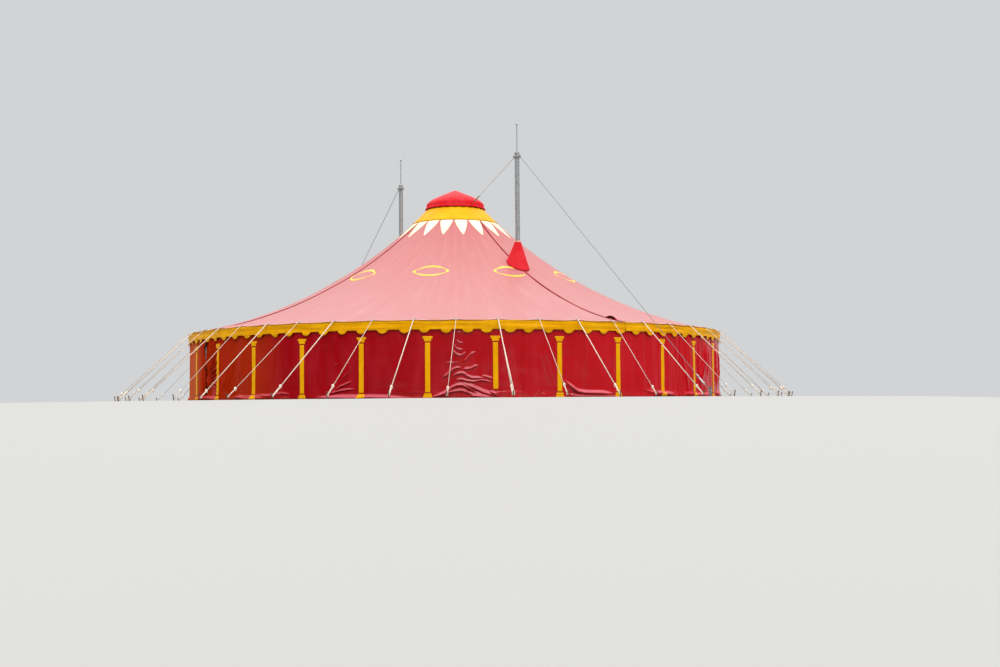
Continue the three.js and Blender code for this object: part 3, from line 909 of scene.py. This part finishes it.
def fold_relief(along, height):
    """How far the placed folds push the cloth out, with a steeper slope below each crest."""
    out = 0.0
    for rise, width, line, length, (left, right, low, high) in READY:
        if not (left < along < right and low < height < high):
            continue
        nearest, above, share, run = 9.0, 0.0, 0.0, 0.0
        for (ax, az), (bx, bz) in zip(line, line[1:]):
            dx, dz = bx - ax, bz - az
            reach = math.hypot(dx, dz)
            part = min(1.0, max(0.0, ((along - ax) * dx + (height - az) * dz) / reach ** 2))
            px, pz = along - ax - part * dx, height - az - part * dz
            away = math.hypot(px, pz)
            if away < nearest:
                nearest, above, share = away, dx * pz - dz * px, (run + part * reach) / length
            run += reach
        taper = smooth(-0.02, 0.3, share) * smooth(1.02, 0.7, share)
        reach = width * (0.45 + 0.55 * taper) * (1.0 if above >= 0 else 0.6)
        out += FOLD_STRENGTH * rise * taper * max(0.0, 1 - nearest / reach) ** FOLD_SHARPNESS
    return out


print("folds ready, %.0f m of crests" % sum(length for _, _, _, length, _ in READY))

# %% [markdown]
# One sheet ends in an open slit at bearing -59, the way into the tent. Its edge is tied back at
# waist height, so pleats fan out from there, and the edge of the next sheet curls outwards. The
# rest of the wall is shaped by noise: tall waves, fine creases, sags, and a slack roll along the
# foot. On the inside it always stops short of the side poles.

# %% The wall's face
WALL_TOP = EAVE - 0.0203
TIE_BEARING = FIRST_JOINT + 0.9
TIE_HEIGHT = 0.95
PLEATS_PER_RADIAN = 4.5
PLEAT_M = 0.055
TIE_BULGE_M = 0.09
CURL_M = 0.08
WAVE_M = 0.030
FINE_CREASE_M = 0.020
SAG_M = 0.008
FOOT_FOLD_M = 0.03
FOOT_ROLL_M = 0.10


def ring_noise(bearing, size, height=0.0):
    """Noise along the wall that closes round the tent, in patches of about this size."""
    turn = math.radians(bearing)
    ring = Vector((math.cos(turn), math.sin(turn), 0)) * WALL_RADIUS
    return noise.noise(ring / size + Vector((0, 0, height)))


def tied_back(bearing, height):
    """Pleats that fan out from the tie, and the bulge where the cloth is gathered in it."""
    across = math.radians(bearing - TIE_BEARING) * WALL_RADIUS
    if not -0.5 < across < 2.2:
        return 0.0
    rise = height - TIE_HEIGHT
    away = math.hypot(across, rise)
    fan = math.atan2(across, abs(rise) + 0.02)
    strength = smooth(0.0, 0.3, away) * smooth(1.15, 0.6, across)
    strength *= smooth(WALL_TOP, WALL_TOP - 0.4, height)
    pleat = math.sin(2 * math.pi * PLEATS_PER_RADIAN * fan + 0.6 * math.sin(3 * away))
    bulge = TIE_BULGE_M * smooth(0.35, 0.0, away)
    return PLEAT_M * strength * pleat * min(1.0, 0.5 + 0.4 * away) + bulge


def curled(bearing, height):
    """The last sheet's edge at the slit curls outwards."""
    edge = (FIRST_JOINT - bearing) % 360
    away = math.radians(edge) * WALL_RADIUS
    if away > 0.5:
        return 0.0
    return CURL_M * smooth(0.45, 0.0, away) * smooth(1.2, 2.1, height) * smooth(3.1, 2.6, height)


def foot_roll(bearing, height):
    """The wall's slack foot lies in a long roll on the ground, but not where folds are placed."""
    free = 1 - smooth(-34, -30, bearing) * smooth(34, 30, bearing)
    amount = free * smooth(-0.25, 0.1, ring_noise(bearing, 2.1, 40))
    above = height - 0.12 - 0.06 * ring_noise(bearing, 0.9, 50)
    return FOOT_ROLL_M * amount * max(0.0, 1 - (above / 0.17 if above > 0 else -above / 0.09))


def wrinkled(bearing, height):
    """How far the wall stands out from its true face, in metres."""
    slack = 1 - height / WALL_TOP
    held = smooth(WALL_TOP, WALL_TOP - 0.4, height)
    waves = WAVE_M * ring_noise(bearing, 0.9, height / 4) * (0.4 + 0.9 * slack)
    creases = FINE_CREASE_M * ring_noise(bearing, 0.22, height / 1.8 + 30)
    sags = SAG_M * ring_noise(bearing, 1.2, height / 0.45 + 60)
    foot = FOOT_FOLD_M * ring_noise(bearing, 1.3, height / 0.1 + 90) + 0.02
    foot *= smooth(0.55, 0.06, height)
    placed = fold_relief(math.radians(bearing) * WALL_RADIUS, height)
    out = held * (waves + creases + sags) + foot + foot_roll(bearing, height)
    return out + placed + tied_back(bearing, height) + curled(bearing, height)


def wall_offset(bearing, height):
    """Wrinkles may swing out freely but stop short of the side poles on the inside."""
    past = abs((bearing + POLE_STEP / 2) % POLE_STEP - POLE_STEP / 2)
    room = 0.012 + 0.1 * smooth(0.25, 1.0, past)
    under_valance = 0.03 + 0.25 * smooth(2.9, 2.3, height)
    out = wrinkled((bearing + 180) % 360 - 180, height)
    return max(-room, min(under_valance, out))


def wall_point(bearing, height, lift=0.0):
    return place(WALL_RADIUS * chord(bearing) + wall_offset(bearing, height) + lift, bearing, height)


print("wall's face: top at %.2f m, tie at %.2f m" % (WALL_TOP, TIE_HEIGHT))

# %% [markdown]
# The ten sheets are cloth pieces on that face. Those in view get a finer grid, as their folds
# need it, and the pulled-up sheet has its points crowded where it was pulled up. The edges at the
# slit stay apart, and the first one swings back towards its tie.

# %% Wall sheets
WALL_HEM = 0.02
SLIT_GAP = 0.045
PULLED_UP_SHEET = 1
# shares of the pulled-up sheet's columns of points, and the shares of its width they reach
CROWDING = [(0, 0), (0.32, 0.49), (0.85, 0.87), (1, 1)]
GRIDS = {0: (230, 84), 1: (280, 160), 2: (220, 88), 3: (170, 66), 9: (170, 66)}
FAR_GRID = (128, 52)


def crowded(u):
    """Puts more of the grid's columns where the second sheet was pulled up."""
    for (from_u, from_share), (to_u, to_share) in zip(CROWDING, CROWDING[1:]):
        if u <= to_u:
            return from_share + (to_share - from_share) * (u - from_u) / (to_u - from_u)
    return 1.0


def wall_sheet(n, columns, rows):
    start = FIRST_JOINT + SHEET_STEP * n
    edge_gap = math.degrees(SLIT_GAP / WALL_RADIUS)

    def where(u, w):
        hem = WALL_HEM + 0.012 * (1 + noise.noise(Vector((start + 21 * u, 0, 9))))
        height = hem + (WALL_TOP - hem) * w
        low, high = start, start + SHEET_STEP
        if n == 0:
            low += edge_gap + 0.35 * smooth(1.0, 0.0, abs(height - TIE_HEIGHT))
        if n == SHEETS - 1:
            high -= edge_gap
        return wall_point(low + (high - low) * (crowded(u) if n == PULLED_UP_SHEET else u), height)
    piece = cloth("wall_cloth_%02d" % (n + 1), columns, rows, where, [crimson_cloth])
    return dress(piece, "crimson_cloth", "wall_sheet_%02d" % (n + 1))


wall_pieces = [wall_sheet(n, *GRIDS.get(n, FAR_GRID)) for n in range(SHEETS)]
print("wall: %d sheets, %.2f m wide and %.2f m high" % (
    SHEETS, 2 * math.pi * WALL_RADIUS / SHEETS, WALL_TOP - WALL_HEM))

# %% [markdown]
# Every sheet has three yellow columns sewn on. They are cut from flat cloth too: a base that
# widens at the foot, a plain shaft, and a capital under a flat plate, with a finger of crimson
# showing between them. They follow each wrinkle of the wall they are sewn to. The slack foot of
# the pulled-up bay lies over the base of the column next to it, so that one has no base.

# %% Columns
# outlines of base, shaft and capital: a height and the half width there
COLUMN_PARTS = [
    [(0.056, 0.195), (0.11, 0.19), (0.17, 0.165), (0.242, 0.15)],
    [(0.285, 0.110), (2.425, 0.110)],
    [(2.475, 0.145), (2.595, 0.16), (2.615, 0.218), (2.705, 0.218)],
]
# degrees by which the hand-sewn columns in view miss their even spacing
COLUMN_SHIFTS = {29: -1.0, 0: -0.6, 1: -0.45, 2: -0.28, 3: -0.23, 4: -0.08, 7: 0.38, 8: 0.19,
                 9: -0.19, 10: -0.35}
COLUMN_STEP = SHEET_STEP / COLUMNS_PER_SHEET
COLUMN_LIFT = 0.014
COLUMN_CLOTH_M = 0.012
COVERED_COLUMN = 5
COVER_TOP = 0.41


def half_width(outline, height):
    for (low, narrow), (high, wide) in zip(outline, outline[1:]):
        if height <= high:
            return narrow + (wide - narrow) * (height - low) / (high - low)
    return outline[-1][1]


def column(n):
    bearing = FIRST_JOINT + COLUMN_STEP * (n + 0.5) + COLUMN_SHIFTS.get(n, 0)
    made = []
    for part, outline in zip(("base", "shaft", "capital"), COLUMN_PARTS):
        low, high = outline[0][0], outline[-1][0]
        if n == COVERED_COLUMN:
            if part == "base":
                continue
            low = max(low, COVER_TOP)

        def where(u, w):
            height = low + (high - low) * w
            aside = (2 * u - 1) * half_width(outline, height)
            return wall_point(bearing + math.degrees(aside / WALL_RADIUS), height, COLUMN_LIFT)
        rows = max(8, int((high - low) / 0.045))
        piece = cloth("column_%02d_%s" % (n + 1, part), 6, rows, where, [yellow_cloth],
                      COLUMN_CLOTH_M)
        made.append(dress(piece, "yellow_cloth"))
    return made


columns = [column(n) for n in range(SHEETS * COLUMNS_PER_SHEET)]
print("columns: %d, each of base, shaft and capital" % len(columns))

# %% [markdown]
# The valance is a yellow band along the eave that hides the ropes' eyelets. Its lower edge is
# cut in rounded lobes, two to a bay, and hangs free, so it ripples and curls a little outwards.

# %% Valance
VALANCE_TOP = EAVE - 0.003
VALANCE_HEM = 2.99
LOBE_DEPTH = 0.155
LOBE_HALF = 0.23
LOBE_STEP = POLE_STEP / 2
RIPPLE_M = 0.030
VALANCE_CREASE_M = 0.045


def hem_at(bearing):
    """The lobes are cut by hand, so each is a little off its place and its size."""
    lobe = math.floor(bearing / LOBE_STEP)
    chance = random.Random(lobe % (2 * POLES))
    from_lobe = bearing - (lobe + 0.5) * LOBE_STEP - chance.uniform(-0.28, 0.28)
    half = LOBE_HALF * chance.uniform(0.9, 1.15)
    away = math.radians(abs(from_lobe)) * VALANCE_RADIUS / half
    return VALANCE_HEM - LOBE_DEPTH * chance.uniform(0.9, 1.1) * max(0.0, 1 - away * away) ** 0.75


def valance(n):
    def where(u, w):
        bearing = seam_bearing(n) + QUARTER_STEP * u
        low = hem_at(bearing)
        height = low + (VALANCE_TOP - low) * w
        hang = smooth(VALANCE_TOP, VALANCE_HEM, height)
        s = math.radians(bearing) * RADIUS
        ripple = RIPPLE_M * noise.noise(Vector((s / 0.3, height * 1.2, 2.5)))
        crease = VALANCE_CREASE_M * noise.noise(Vector((s / 2.2, height / 0.09, 7.5)))
        crease *= smooth(VALANCE_TOP, VALANCE_TOP - 0.06, height)
        out = max(0.012 + hang * (0.002 + ripple) + crease, -0.012)
        return place(VALANCE_RADIUS * chord(bearing) + out, bearing, height)
    piece = cloth("valance_cloth_%d" % (n + 1), 600, 10, where, [valance_cloth])
    return dress(piece, "yellow_cloth", "valance_%d" % (n + 1))


valances = [valance(n) for n in range(QUARTERS)]
print("valance: %d lobes, one every %.2f m" % (
    360 / LOBE_STEP, math.radians(LOBE_STEP) * VALANCE_RADIUS))

# %% [markdown]
# The rim carries the load. Forty-eight steel poles stand just inside the wall with a pin through
# the eave belt, and from each pin a rope runs out and down to an iron stake. Near the stake the
# rope is doubled back through its own knot, so that it can be tightened when it has stretched.
# Every other rope is a stouter one, as the old ones get replaced by what is at hand, and one rope
# in front and one behind are doubled.

# %% Poles, ropes and stakes
RIM_SETS = 12
RIM_STEP = 360 / RIM_SETS
TUBE_RADIUS = 0.03
FOOT_RADIUS = 0.07
PIN_RADIUS = 0.012
WASHER_RADIUS = 0.055
ROPE_M = 0.025
STOUT_ROPE_M = 0.044
KNOT_RADIUS = 0.058
KNOT_SHARE = 0.895  # of the way down from the eave
KNOT_PLAY = 0.018  # as each knot is tied by hand
ROPE_SPREAD = 0.022
COIL_RADIUS = 0.045
STAKE_RADIUS = 0.022
STAKE_HEAD = 0.034
STAKE_LEAN = 0.05
STAKE_TOP = 0.30
SHIFTED_STAKE = -1.2  # degrees, where the rope at bearing 0 or 180 is pegged beside its pole


def reach_at(pole):
    """How far out a rope's stake stands: as listed for those in front, and again behind."""
    from_front = (pole + POLES // 4) % (POLES // 2) - POLES // 4
    middle = len(REACHES) // 2
    return REACHES[from_front + middle] if abs(from_front) <= middle else USUAL_REACH


def side_pole(bearing):
    """A tube on a round foot, and a pin with a washer through the eave belt."""
    return [upright(POLE_RADIUS, bearing, 0, EAVE - 0.01, TUBE_RADIUS, 16),
            upright(POLE_RADIUS, bearing, 0, 0.012, FOOT_RADIUS, 16),
            upright(POLE_RADIUS, bearing, EAVE - 0.02, PIN_TOP, PIN_RADIUS, 8),
            upright(POLE_RADIUS, bearing, EAVE + 0.03, EAVE + 0.042, WASHER_RADIUS, 16)]


def guy_rope(pole, bearing, reach, stake_bearing):
    """A rope down to its knot, the two ends below it, and its turns round pin and stake."""
    top = place(RADIUS + 0.012, bearing, EAVE - 0.005)
    foot = place(reach, stake_bearing, ROPE_GRIP)
    knot = top.lerp(foot, KNOT_SHARE + KNOT_PLAY * math.sin(5 * pole))
    aside = place(ROPE_SPREAD, bearing + 90)
    radius = (STOUT_ROPE_M if pole % 2 else ROPE_M) / 2
    parts = [rod(top, knot, radius),
             rod(knot + aside * 0.3, foot + aside, radius),
             rod(knot - aside * 0.3, foot - aside, radius),
             ball(knot, KNOT_RADIUS, (1, 1, 1.5)),
             ball(top, 0.03)]
    if pole % (POLES // 2) == 1:
        parts.append(rod(top.lerp(foot, 0.3), foot + aside * 3, radius))
    parts.append(rod(place(POLE_RADIUS, bearing, EAVE + 0.035), top, ROPE_M / 2))
    parts.append(upright(reach - 0.02, stake_bearing, ROPE_GRIP - 0.03, ROPE_GRIP + 0.04,
                         COIL_RADIUS, 12))
    return parts


def stake(reach, bearing):
    """An iron bar that leans away from the tent, with a hammered head."""
    head = place(reach + STAKE_LEAN, bearing, STAKE_TOP)
    return [rod(place(reach, bearing), head, STAKE_RADIUS, 10),
            rod(head - 0.03 * UP, head, STAKE_HEAD, 10)]


def rim_set(n):
    start = SEAM + RIM_STEP * n
    poles, ropes, stakes = [], [], []
    for pole in range(math.ceil(start / POLE_STEP), math.ceil((start + RIM_STEP) / POLE_STEP)):
        bearing = pole * POLE_STEP
        stake_bearing = bearing + (SHIFTED_STAKE if pole % (POLES // 2) == 0 else 0)
        poles += side_pole(bearing)
        ropes += guy_rope(pole, bearing, reach_at(pole), stake_bearing)
        stakes += stake(reach_at(pole), stake_bearing)
    dress(joined("side_poles_%02d" % (n + 1), poles, steel), "galvanised_steel")
    dress(joined("stakes_%02d" % (n + 1), stakes, iron), "galvanised_steel")
    dress(joined("guy_ropes_%02d" % (n + 1), ropes, rope), "rope_and_webbing",
          "rim_set_%02d" % (n + 1))


for n in range(RIM_SETS):
    rim_set(n)
print("rim: %d poles, ropes and stakes" % POLES)

# %% [markdown]
# A belt of webbing lies over the roof's edge and takes the pull of the ropes round the whole
# eave. The pins of four bays go through each length of it.

# %% Eave belt
BELT_M = 0.19
BELT_THICK_M = 0.005
BELT_LIFT = 0.009


def eave_belt(n):
    def where(u, w):
        return roof_point(RADIUS - BELT_M * w, SEAM + RIM_STEP * (n + u), BELT_LIFT)
    piece = cloth("eave_belt_%02d" % (n + 1), 32, 2, where, [webbing], BELT_THICK_M)
    dress(piece, "rope_and_webbing")


for n in range(RIM_SETS):
    eave_belt(n)
print("eave belt: %d lengths of %.2f m" % (RIM_SETS, math.radians(RIM_STEP) * RADIUS))

# %% [markdown]
# The steel of the masts, their cables and the crown ring keeps its shape from the construction
# and only needs its finish. The faces of those solids are loose triangles, so they are left
# flat-shaded and untouched.

# %% Steel of masts, cables and crown
for name, finish in (("crown_ring", steel), ("mast_1", steel), ("mast_2", steel),
                     ("mast_guy_1", wire), ("mast_guy_2", wire)):
    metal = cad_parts[name]
    metal.data.materials.clear()
    metal.data.materials.append(finish)
    print(name, "finished in", finish.name)

# %% [markdown]
# Where a mast passes through the roof, a crimson sleeve closes the gap: a cone of cloth welded
# to the roof and gathered round the mast under three turns of rope.

# %% Mast sleeves
SLEEVE_FOOT = 0.58
SLEEVE_NECK = 0.135
SLEEVE_HEIGHT = 1.25
GATHERS = 14
GATHER_DEPTH = 0.10
TIE_RADIUS = 0.158
TIE_TURNS = 3
TIE_STEP = 0.028
TIE_M = 0.025


def sleeve(n):
    bearing = mast_bearing(n)
    axis = place(MAST_AT, bearing)
    top = roof_height(MAST_AT) + SLEEVE_HEIGHT

    def where(u, w):
        turn = 2 * math.pi * u
        share = (1 - w) ** 1.15
        gather = GATHER_DEPTH * (1 - share) * share ** 0.3 * math.cos(turn * GATHERS)
        radius = (SLEEVE_NECK + (SLEEVE_FOOT - SLEEVE_NECK) * share) * (1 + gather)
        x = axis.x + radius * math.cos(turn)
        y = axis.y + radius * math.sin(turn)
        ground = roof_height(math.hypot(x, y)) + 0.006
        return Vector((x, y, ground * (1 - w) + top * w))
    piece = cloth("sleeve_cloth_%d" % (n + 1), 84, 20, where, [cap_cloth])
    lows = [top - 0.10 + TIE_STEP * k for k in range(TIE_TURNS)]
    ties = [upright(MAST_AT, bearing, low, low + TIE_M, TIE_RADIUS, 24) for low in lows]
    dress(joined("sleeve_tie_%d" % (n + 1), ties, rope), "rope_and_webbing")
    return dress(piece, "crimson_cloth", "mast_sleeve_%d" % (n + 1))


sleeves = [sleeve(n) for n in range(MASTS)]
print("sleeves: %d, %.2f m high" % (MASTS, SLEEVE_HEIGHT))

# %% [markdown]
# Each mast is pulled outwards by a guy cable and inwards by the cable that carries the crown
# ring. Bottle screws near the ring and the anchor tighten them, shackles hold their ends, and a
# zinc cap keeps the rain out of the mast. The foot plate is stiffened by gussets and pinned.

# %% Mast fittings
HEAD_AT = MAST_HEAD - 0.17
PLATE_HALF = 0.21
ANCHOR = 19.3
ANCHOR_GRIP = 0.21
LUG_RADIUS = CROWN - 0.03
LUG_HEIGHT = roof_height(CROWN) + 0.065
CAP_RADIUS = 0.14
CAP_M = 0.03
KNOB_RADIUS = 0.06
SHACKLE_RADIUS = 0.07
ANCHOR_SHACKLE = 0.08
SHACKLE_SIDES = 10
SCREW_HALF = 0.24
SCREW_SPREAD = 0.04
FOOT_PLATE_M = 0.03
PIN_AT = 0.38
GUSSET_M = 0.016
GUSSET_NEAR = 0.115
GUSSET_FAR = 0.31
GUSSET_HEIGHT = 0.34


def shackle(centre, along, size):
    """A closed ring of short bars, standing upright in line with the cable."""
    up = along.cross(UP).normalized().cross(along)
    turns = [2 * math.pi * k / SHACKLE_SIDES for k in range(SHACKLE_SIDES)]
    corners = [centre + size * (math.cos(turn) * along + math.sin(turn) * up) for turn in turns]
    return [rod(a, b, size * 0.22) for a, b in zip(corners, corners[1:] + corners[:1])]


def bottle_screw(centre, along):
    """Two bars between two nuts, and the screwed rod that runs through them."""
    side = along.cross(UP).normalized() * SCREW_SPREAD
    half = along * SCREW_HALF
    parts = [rod(centre - half + way * side, centre + half + way * side, 0.012) for way in (-1, 1)]
    for way in (-1, 1):
        nut = centre + way * half
        parts.append(rod(nut - along * 0.03, nut + along * 0.03, 0.052, 6))
    return parts + [rod(centre - half * 1.7, centre + half * 1.7, 0.017)]


def gusset(foot, out):
    side = out.cross(UP) * GUSSET_M / 2
    near = foot + out * GUSSET_NEAR + UP * FOOT_PLATE_M

    def fill(bm):
        corners = [near, near + out * (GUSSET_FAR - GUSSET_NEAR), near + UP * GUSSET_HEIGHT]
        front = [bm.verts.new(corner - side) for corner in corners]
        face = bmesh.ops.contextual_create(bm, geom=front)["faces"]
        made = bmesh.ops.extrude_face_region(bm, geom=face)["geom"]
        back = [part for part in made if isinstance(part, bmesh.types.BMVert)]
        bmesh.ops.translate(bm, verts=back, vec=2 * side)
        whole = {f for v in front + back for f in v.link_faces}
        bmesh.ops.recalc_face_normals(bm, faces=list(whole))
    return fill


def mast_fittings(n):
    bearing = mast_bearing(n)
    foot = place(MAST_AT, bearing)
    head = foot + MAST_HEAD * UP
    anchor = place(ANCHOR, bearing, ANCHOR_GRIP)
    outer = place(MAST_AT + PLATE_HALF, bearing, HEAD_AT)
    inner = place(MAST_AT - PLATE_HALF, bearing, HEAD_AT)
    lug = place(LUG_RADIUS, bearing, LUG_HEIGHT)
    parts = [rod(head, head + CAP_M * UP, CAP_RADIUS, 24), ball(foot + MAST_TIP * UP, KNOB_RADIUS)]
    for start, end in ((outer, anchor), (inner, lug)):
        along = (end - start).normalized()
        parts += shackle(start + along * 0.05, along, SHACKLE_RADIUS)
        parts += bottle_screw(end - along * 0.75, along)
    parts += shackle(anchor, (outer - anchor).normalized(), ANCHOR_SHACKLE)
    for k in range(4):
        pin = foot + place(PIN_AT, bearing + 45 + 90 * k)
        parts.append(gusset(foot, place(1, bearing + 90 * k)))
        parts.append(rod(pin + FOOT_PLATE_M * UP, pin + 0.075 * UP, 0.03, 6))
    dress(joined("mast_fittings_%d" % (n + 1), parts, steel), "galvanised_steel")


for n in range(MASTS):
    mast_fittings(n)
print("fittings: bottle screws, shackles, caps, gussets and pins on %d masts" % MASTS)

# %% [markdown]
# The crown closes the top: a yellow collar lies over the rays' upper ends, and a red cap with a
# ruffled rim covers the ring. Both are turned shapes, so a short profile is spun round the
# tent's axis, and the ruffles come from moving the spun points in and out.

# %% Crown
RING_TOP = roof_height(CROWN) + 0.1
COLLAR_FOOT = 2.34
COLLAR_WIDTH = 0.84
COLLAR_LIFT = 0.018
COLLAR_STEPS = 10
CAP_FOOT = 1.6
# radius and height over the ring's top, from the cap's rim to its point
CAP_PROFILE = [(CAP_FOOT, -0.10), (1.57, -0.02), (1.51, 0.05), (1.53, 0.15), (1.46, 0.28),
               (1.25, 0.44), (0.95, 0.59), (0.62, 0.73), (0.30, 0.87), (0.10, 0.95), (0.0, 0.96)]
RUFFLES = 24


def spun_cloth(name, profile, steps, ruffle, material):
    bm = bmesh.new()
    spun(bm, profile, steps)
    bmesh.ops.remove_doubles(bm, verts=bm.verts, dist=0.0005)
    bmesh.ops.recalc_face_normals(bm, faces=bm.faces)
    for v in bm.verts:
        flat = v.co.xy.length
        if flat > 0.01:
            push = 1 + ruffle(math.atan2(v.co.y, v.co.x), v.co.z) / flat
            v.co.x *= push
            v.co.y *= push
    return thickened(finished(bm, name, [material]))


def collar_ruffle(turn, z):
    return 0.004 * math.cos(RUFFLES * turn)


def cap_ruffle(turn, z):
    low = smooth(RING_TOP + 0.6, RING_TOP - 0.1, z)
    return low * (0.03 * math.cos(RUFFLES * turn) + 0.012 * math.cos(2 * RUFFLES * turn + 1))


collar_radii = [COLLAR_FOOT - COLLAR_WIDTH * k / COLLAR_STEPS for k in range(COLLAR_STEPS + 1)]
collar_profile = [(radius, roof_height(radius) + COLLAR_LIFT) for radius in collar_radii]
collar = spun_cloth("crown_collar_cloth", collar_profile, 96, collar_ruffle, yellow_cloth)
dress(collar, "yellow_cloth", "crown_collar")

cap_profile = [(radius, RING_TOP + height) for radius, height in CAP_PROFILE]
cap = spun_cloth("crown_cap_cloth", cap_profile, 192, cap_ruffle, cap_cloth)
dress(cap, "crimson_cloth", "crown_cap")
print("crown: collar and cap, ring top at %.2f m" % RING_TOP)

# %% [markdown]
# Here the sizes of the sheets' flat cuts are worked out, and nothing is done with them. A roof
# quarter is cut from a rectangle as wide as its eave and as long as its slope, and fills about half
# of it. The slope is measured in short steps up the roof's face.

# %% Cloth sizes
SLOPE_STEP = 0.1
SLOPE_AT = 50
RAY_CUT = (math.radians(17.3) * RAY_TOP, 1.2)  # its width under the collar and its length
SLEEVE_LENGTH = 1.5
COLLAR_LENGTH = 1.1
CAP_LENGTH = 2.2
VALANCE_MEAN = 0.45  # between the lobes' tips and the notches


def area_of(piece):
    return sum(face.area for face in piece.data.polygons)


def sheet(piece, width, length, held, rests_on):
    """Works out the smaller of the face's area and the cut's rectangle, and keeps neither."""
    min(area_of(piece), width * length)


def quarter_at(bearing):
    return "roof_cloth_%d" % (int((bearing - SEAM) % 360 // QUARTER_STEP) + 1)


def belts_of(n):
    """The three eave belts along a quarter of the roof."""
    return ["eave_belt_%02d" % (3 * n + k) for k in (1, 2, 3)]


for k in range(round((RADIUS - CROWN) / SLOPE_STEP)):
    radius = CROWN + SLOPE_STEP * k
    run = (roof_point(radius + SLOPE_STEP, SLOPE_AT) - roof_point(radius, SLOPE_AT)).length

for n, piece in enumerate(roof_pieces):
    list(belts_of(n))
for n, piece in enumerate(wall_pieces):
    high = WALL_TOP - WALL_HEM
    area_of(piece) / high
for n, piece in enumerate(valances):
    sheet(piece, area_of(piece) / VALANCE_MEAN, VALANCE_TOP - VALANCE_HEM + LOBE_DEPTH, "hung",
          belts_of(n))
for n, piece in enumerate(lenses):
    sheet(piece, 2 * LENS_HALF_WIDTH, 2 * LENS_HALF_HEIGHT, "laid",
          [quarter_at(SEAM - LENS_OFFSET + LENS_STEP * n)])
for n, piece in enumerate(rays):
    sheet(piece, *RAY_CUT, "laid", [quarter_at(SEAM - LENS_OFFSET + RAY_STEP * n)])
for n, piece in enumerate(sleeves):
    sheet(piece, 2 * math.pi * SLEEVE_FOOT, SLEEVE_LENGTH, "gathered",
          ["mast_%d" % (n + 1), "roof_cloth_%d" % (2 * n + 1)])
sheet(collar, 2 * math.pi * COLLAR_FOOT, COLLAR_LENGTH, "stretched",
      ["roof_cloth_%d" % (n + 1) for n in range(QUARTERS)])
sheet(cap, 2 * math.pi * CAP_FOOT, CAP_LENGTH, "draped", ["crown_ring"])

# %% [markdown]
# The light is a wide, soft, overcast sky, bright overhead and dim towards the horizon, dimmest in
# front, so that glossy cloth shines only where a fold faces up. One very large, weak sun from the
# front right keeps the folds readable. The floor is plain pale paint.

# %% Light
SUN_STRENGTH = 1.3
SUN_WIDTH = math.radians(40)
SUN_TILT = math.radians(48)
SUN_TURN = math.radians(18)

floor_material, floor_tree = new_material("pale_studio_floor")
surface(floor_tree, {"Base Color": colour("#9A9894"), "Roughness": 0.8})
floor.data.materials.append(floor_material)

world = bpy.data.worlds.new("overcast")
world.use_nodes = True
bpy.context.scene.world = world
sky = world.node_tree
sky.nodes.clear()
axes = node(sky, "SeparateXYZ", [node(sky, "TexCoord", output="Generated")], None)
high_up = node(sky, "MapRange", [axes["Z"], 0.33, 0.85])
overhead = node(sky, "Math", [high_up, 1.1], operation="POWER")
horizon = node(sky, "MapRange", [axes["Y"], -0.5, 0.6, 0.3, 0.72])
brightness = node(sky, "Math", [overhead, 2.7, horizon], operation="MULTIPLY_ADD")
background = node(sky, "Background", {"Color": colour("#F2F4F6"), "Strength": brightness})
node(sky, "OutputWorld", [background], None)

sun_data = bpy.data.lights.new("soft_sun", "SUN")
sun_data.energy = SUN_STRENGTH
sun_data.angle = SUN_WIDTH
sun = link(sun_data, "soft_sun")
sun.rotation_euler = (SUN_TILT, 0, SUN_TURN)
bpy.context.scene.view_settings.view_transform = "Standard"
print("light: overcast sky and one soft sun")

# %% [markdown]
# Last, the size of the dressed tent is printed.

# %% Finish
low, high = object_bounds()
print("dressed box in metres:", [round(c, 2) for c in (*low, *high)])
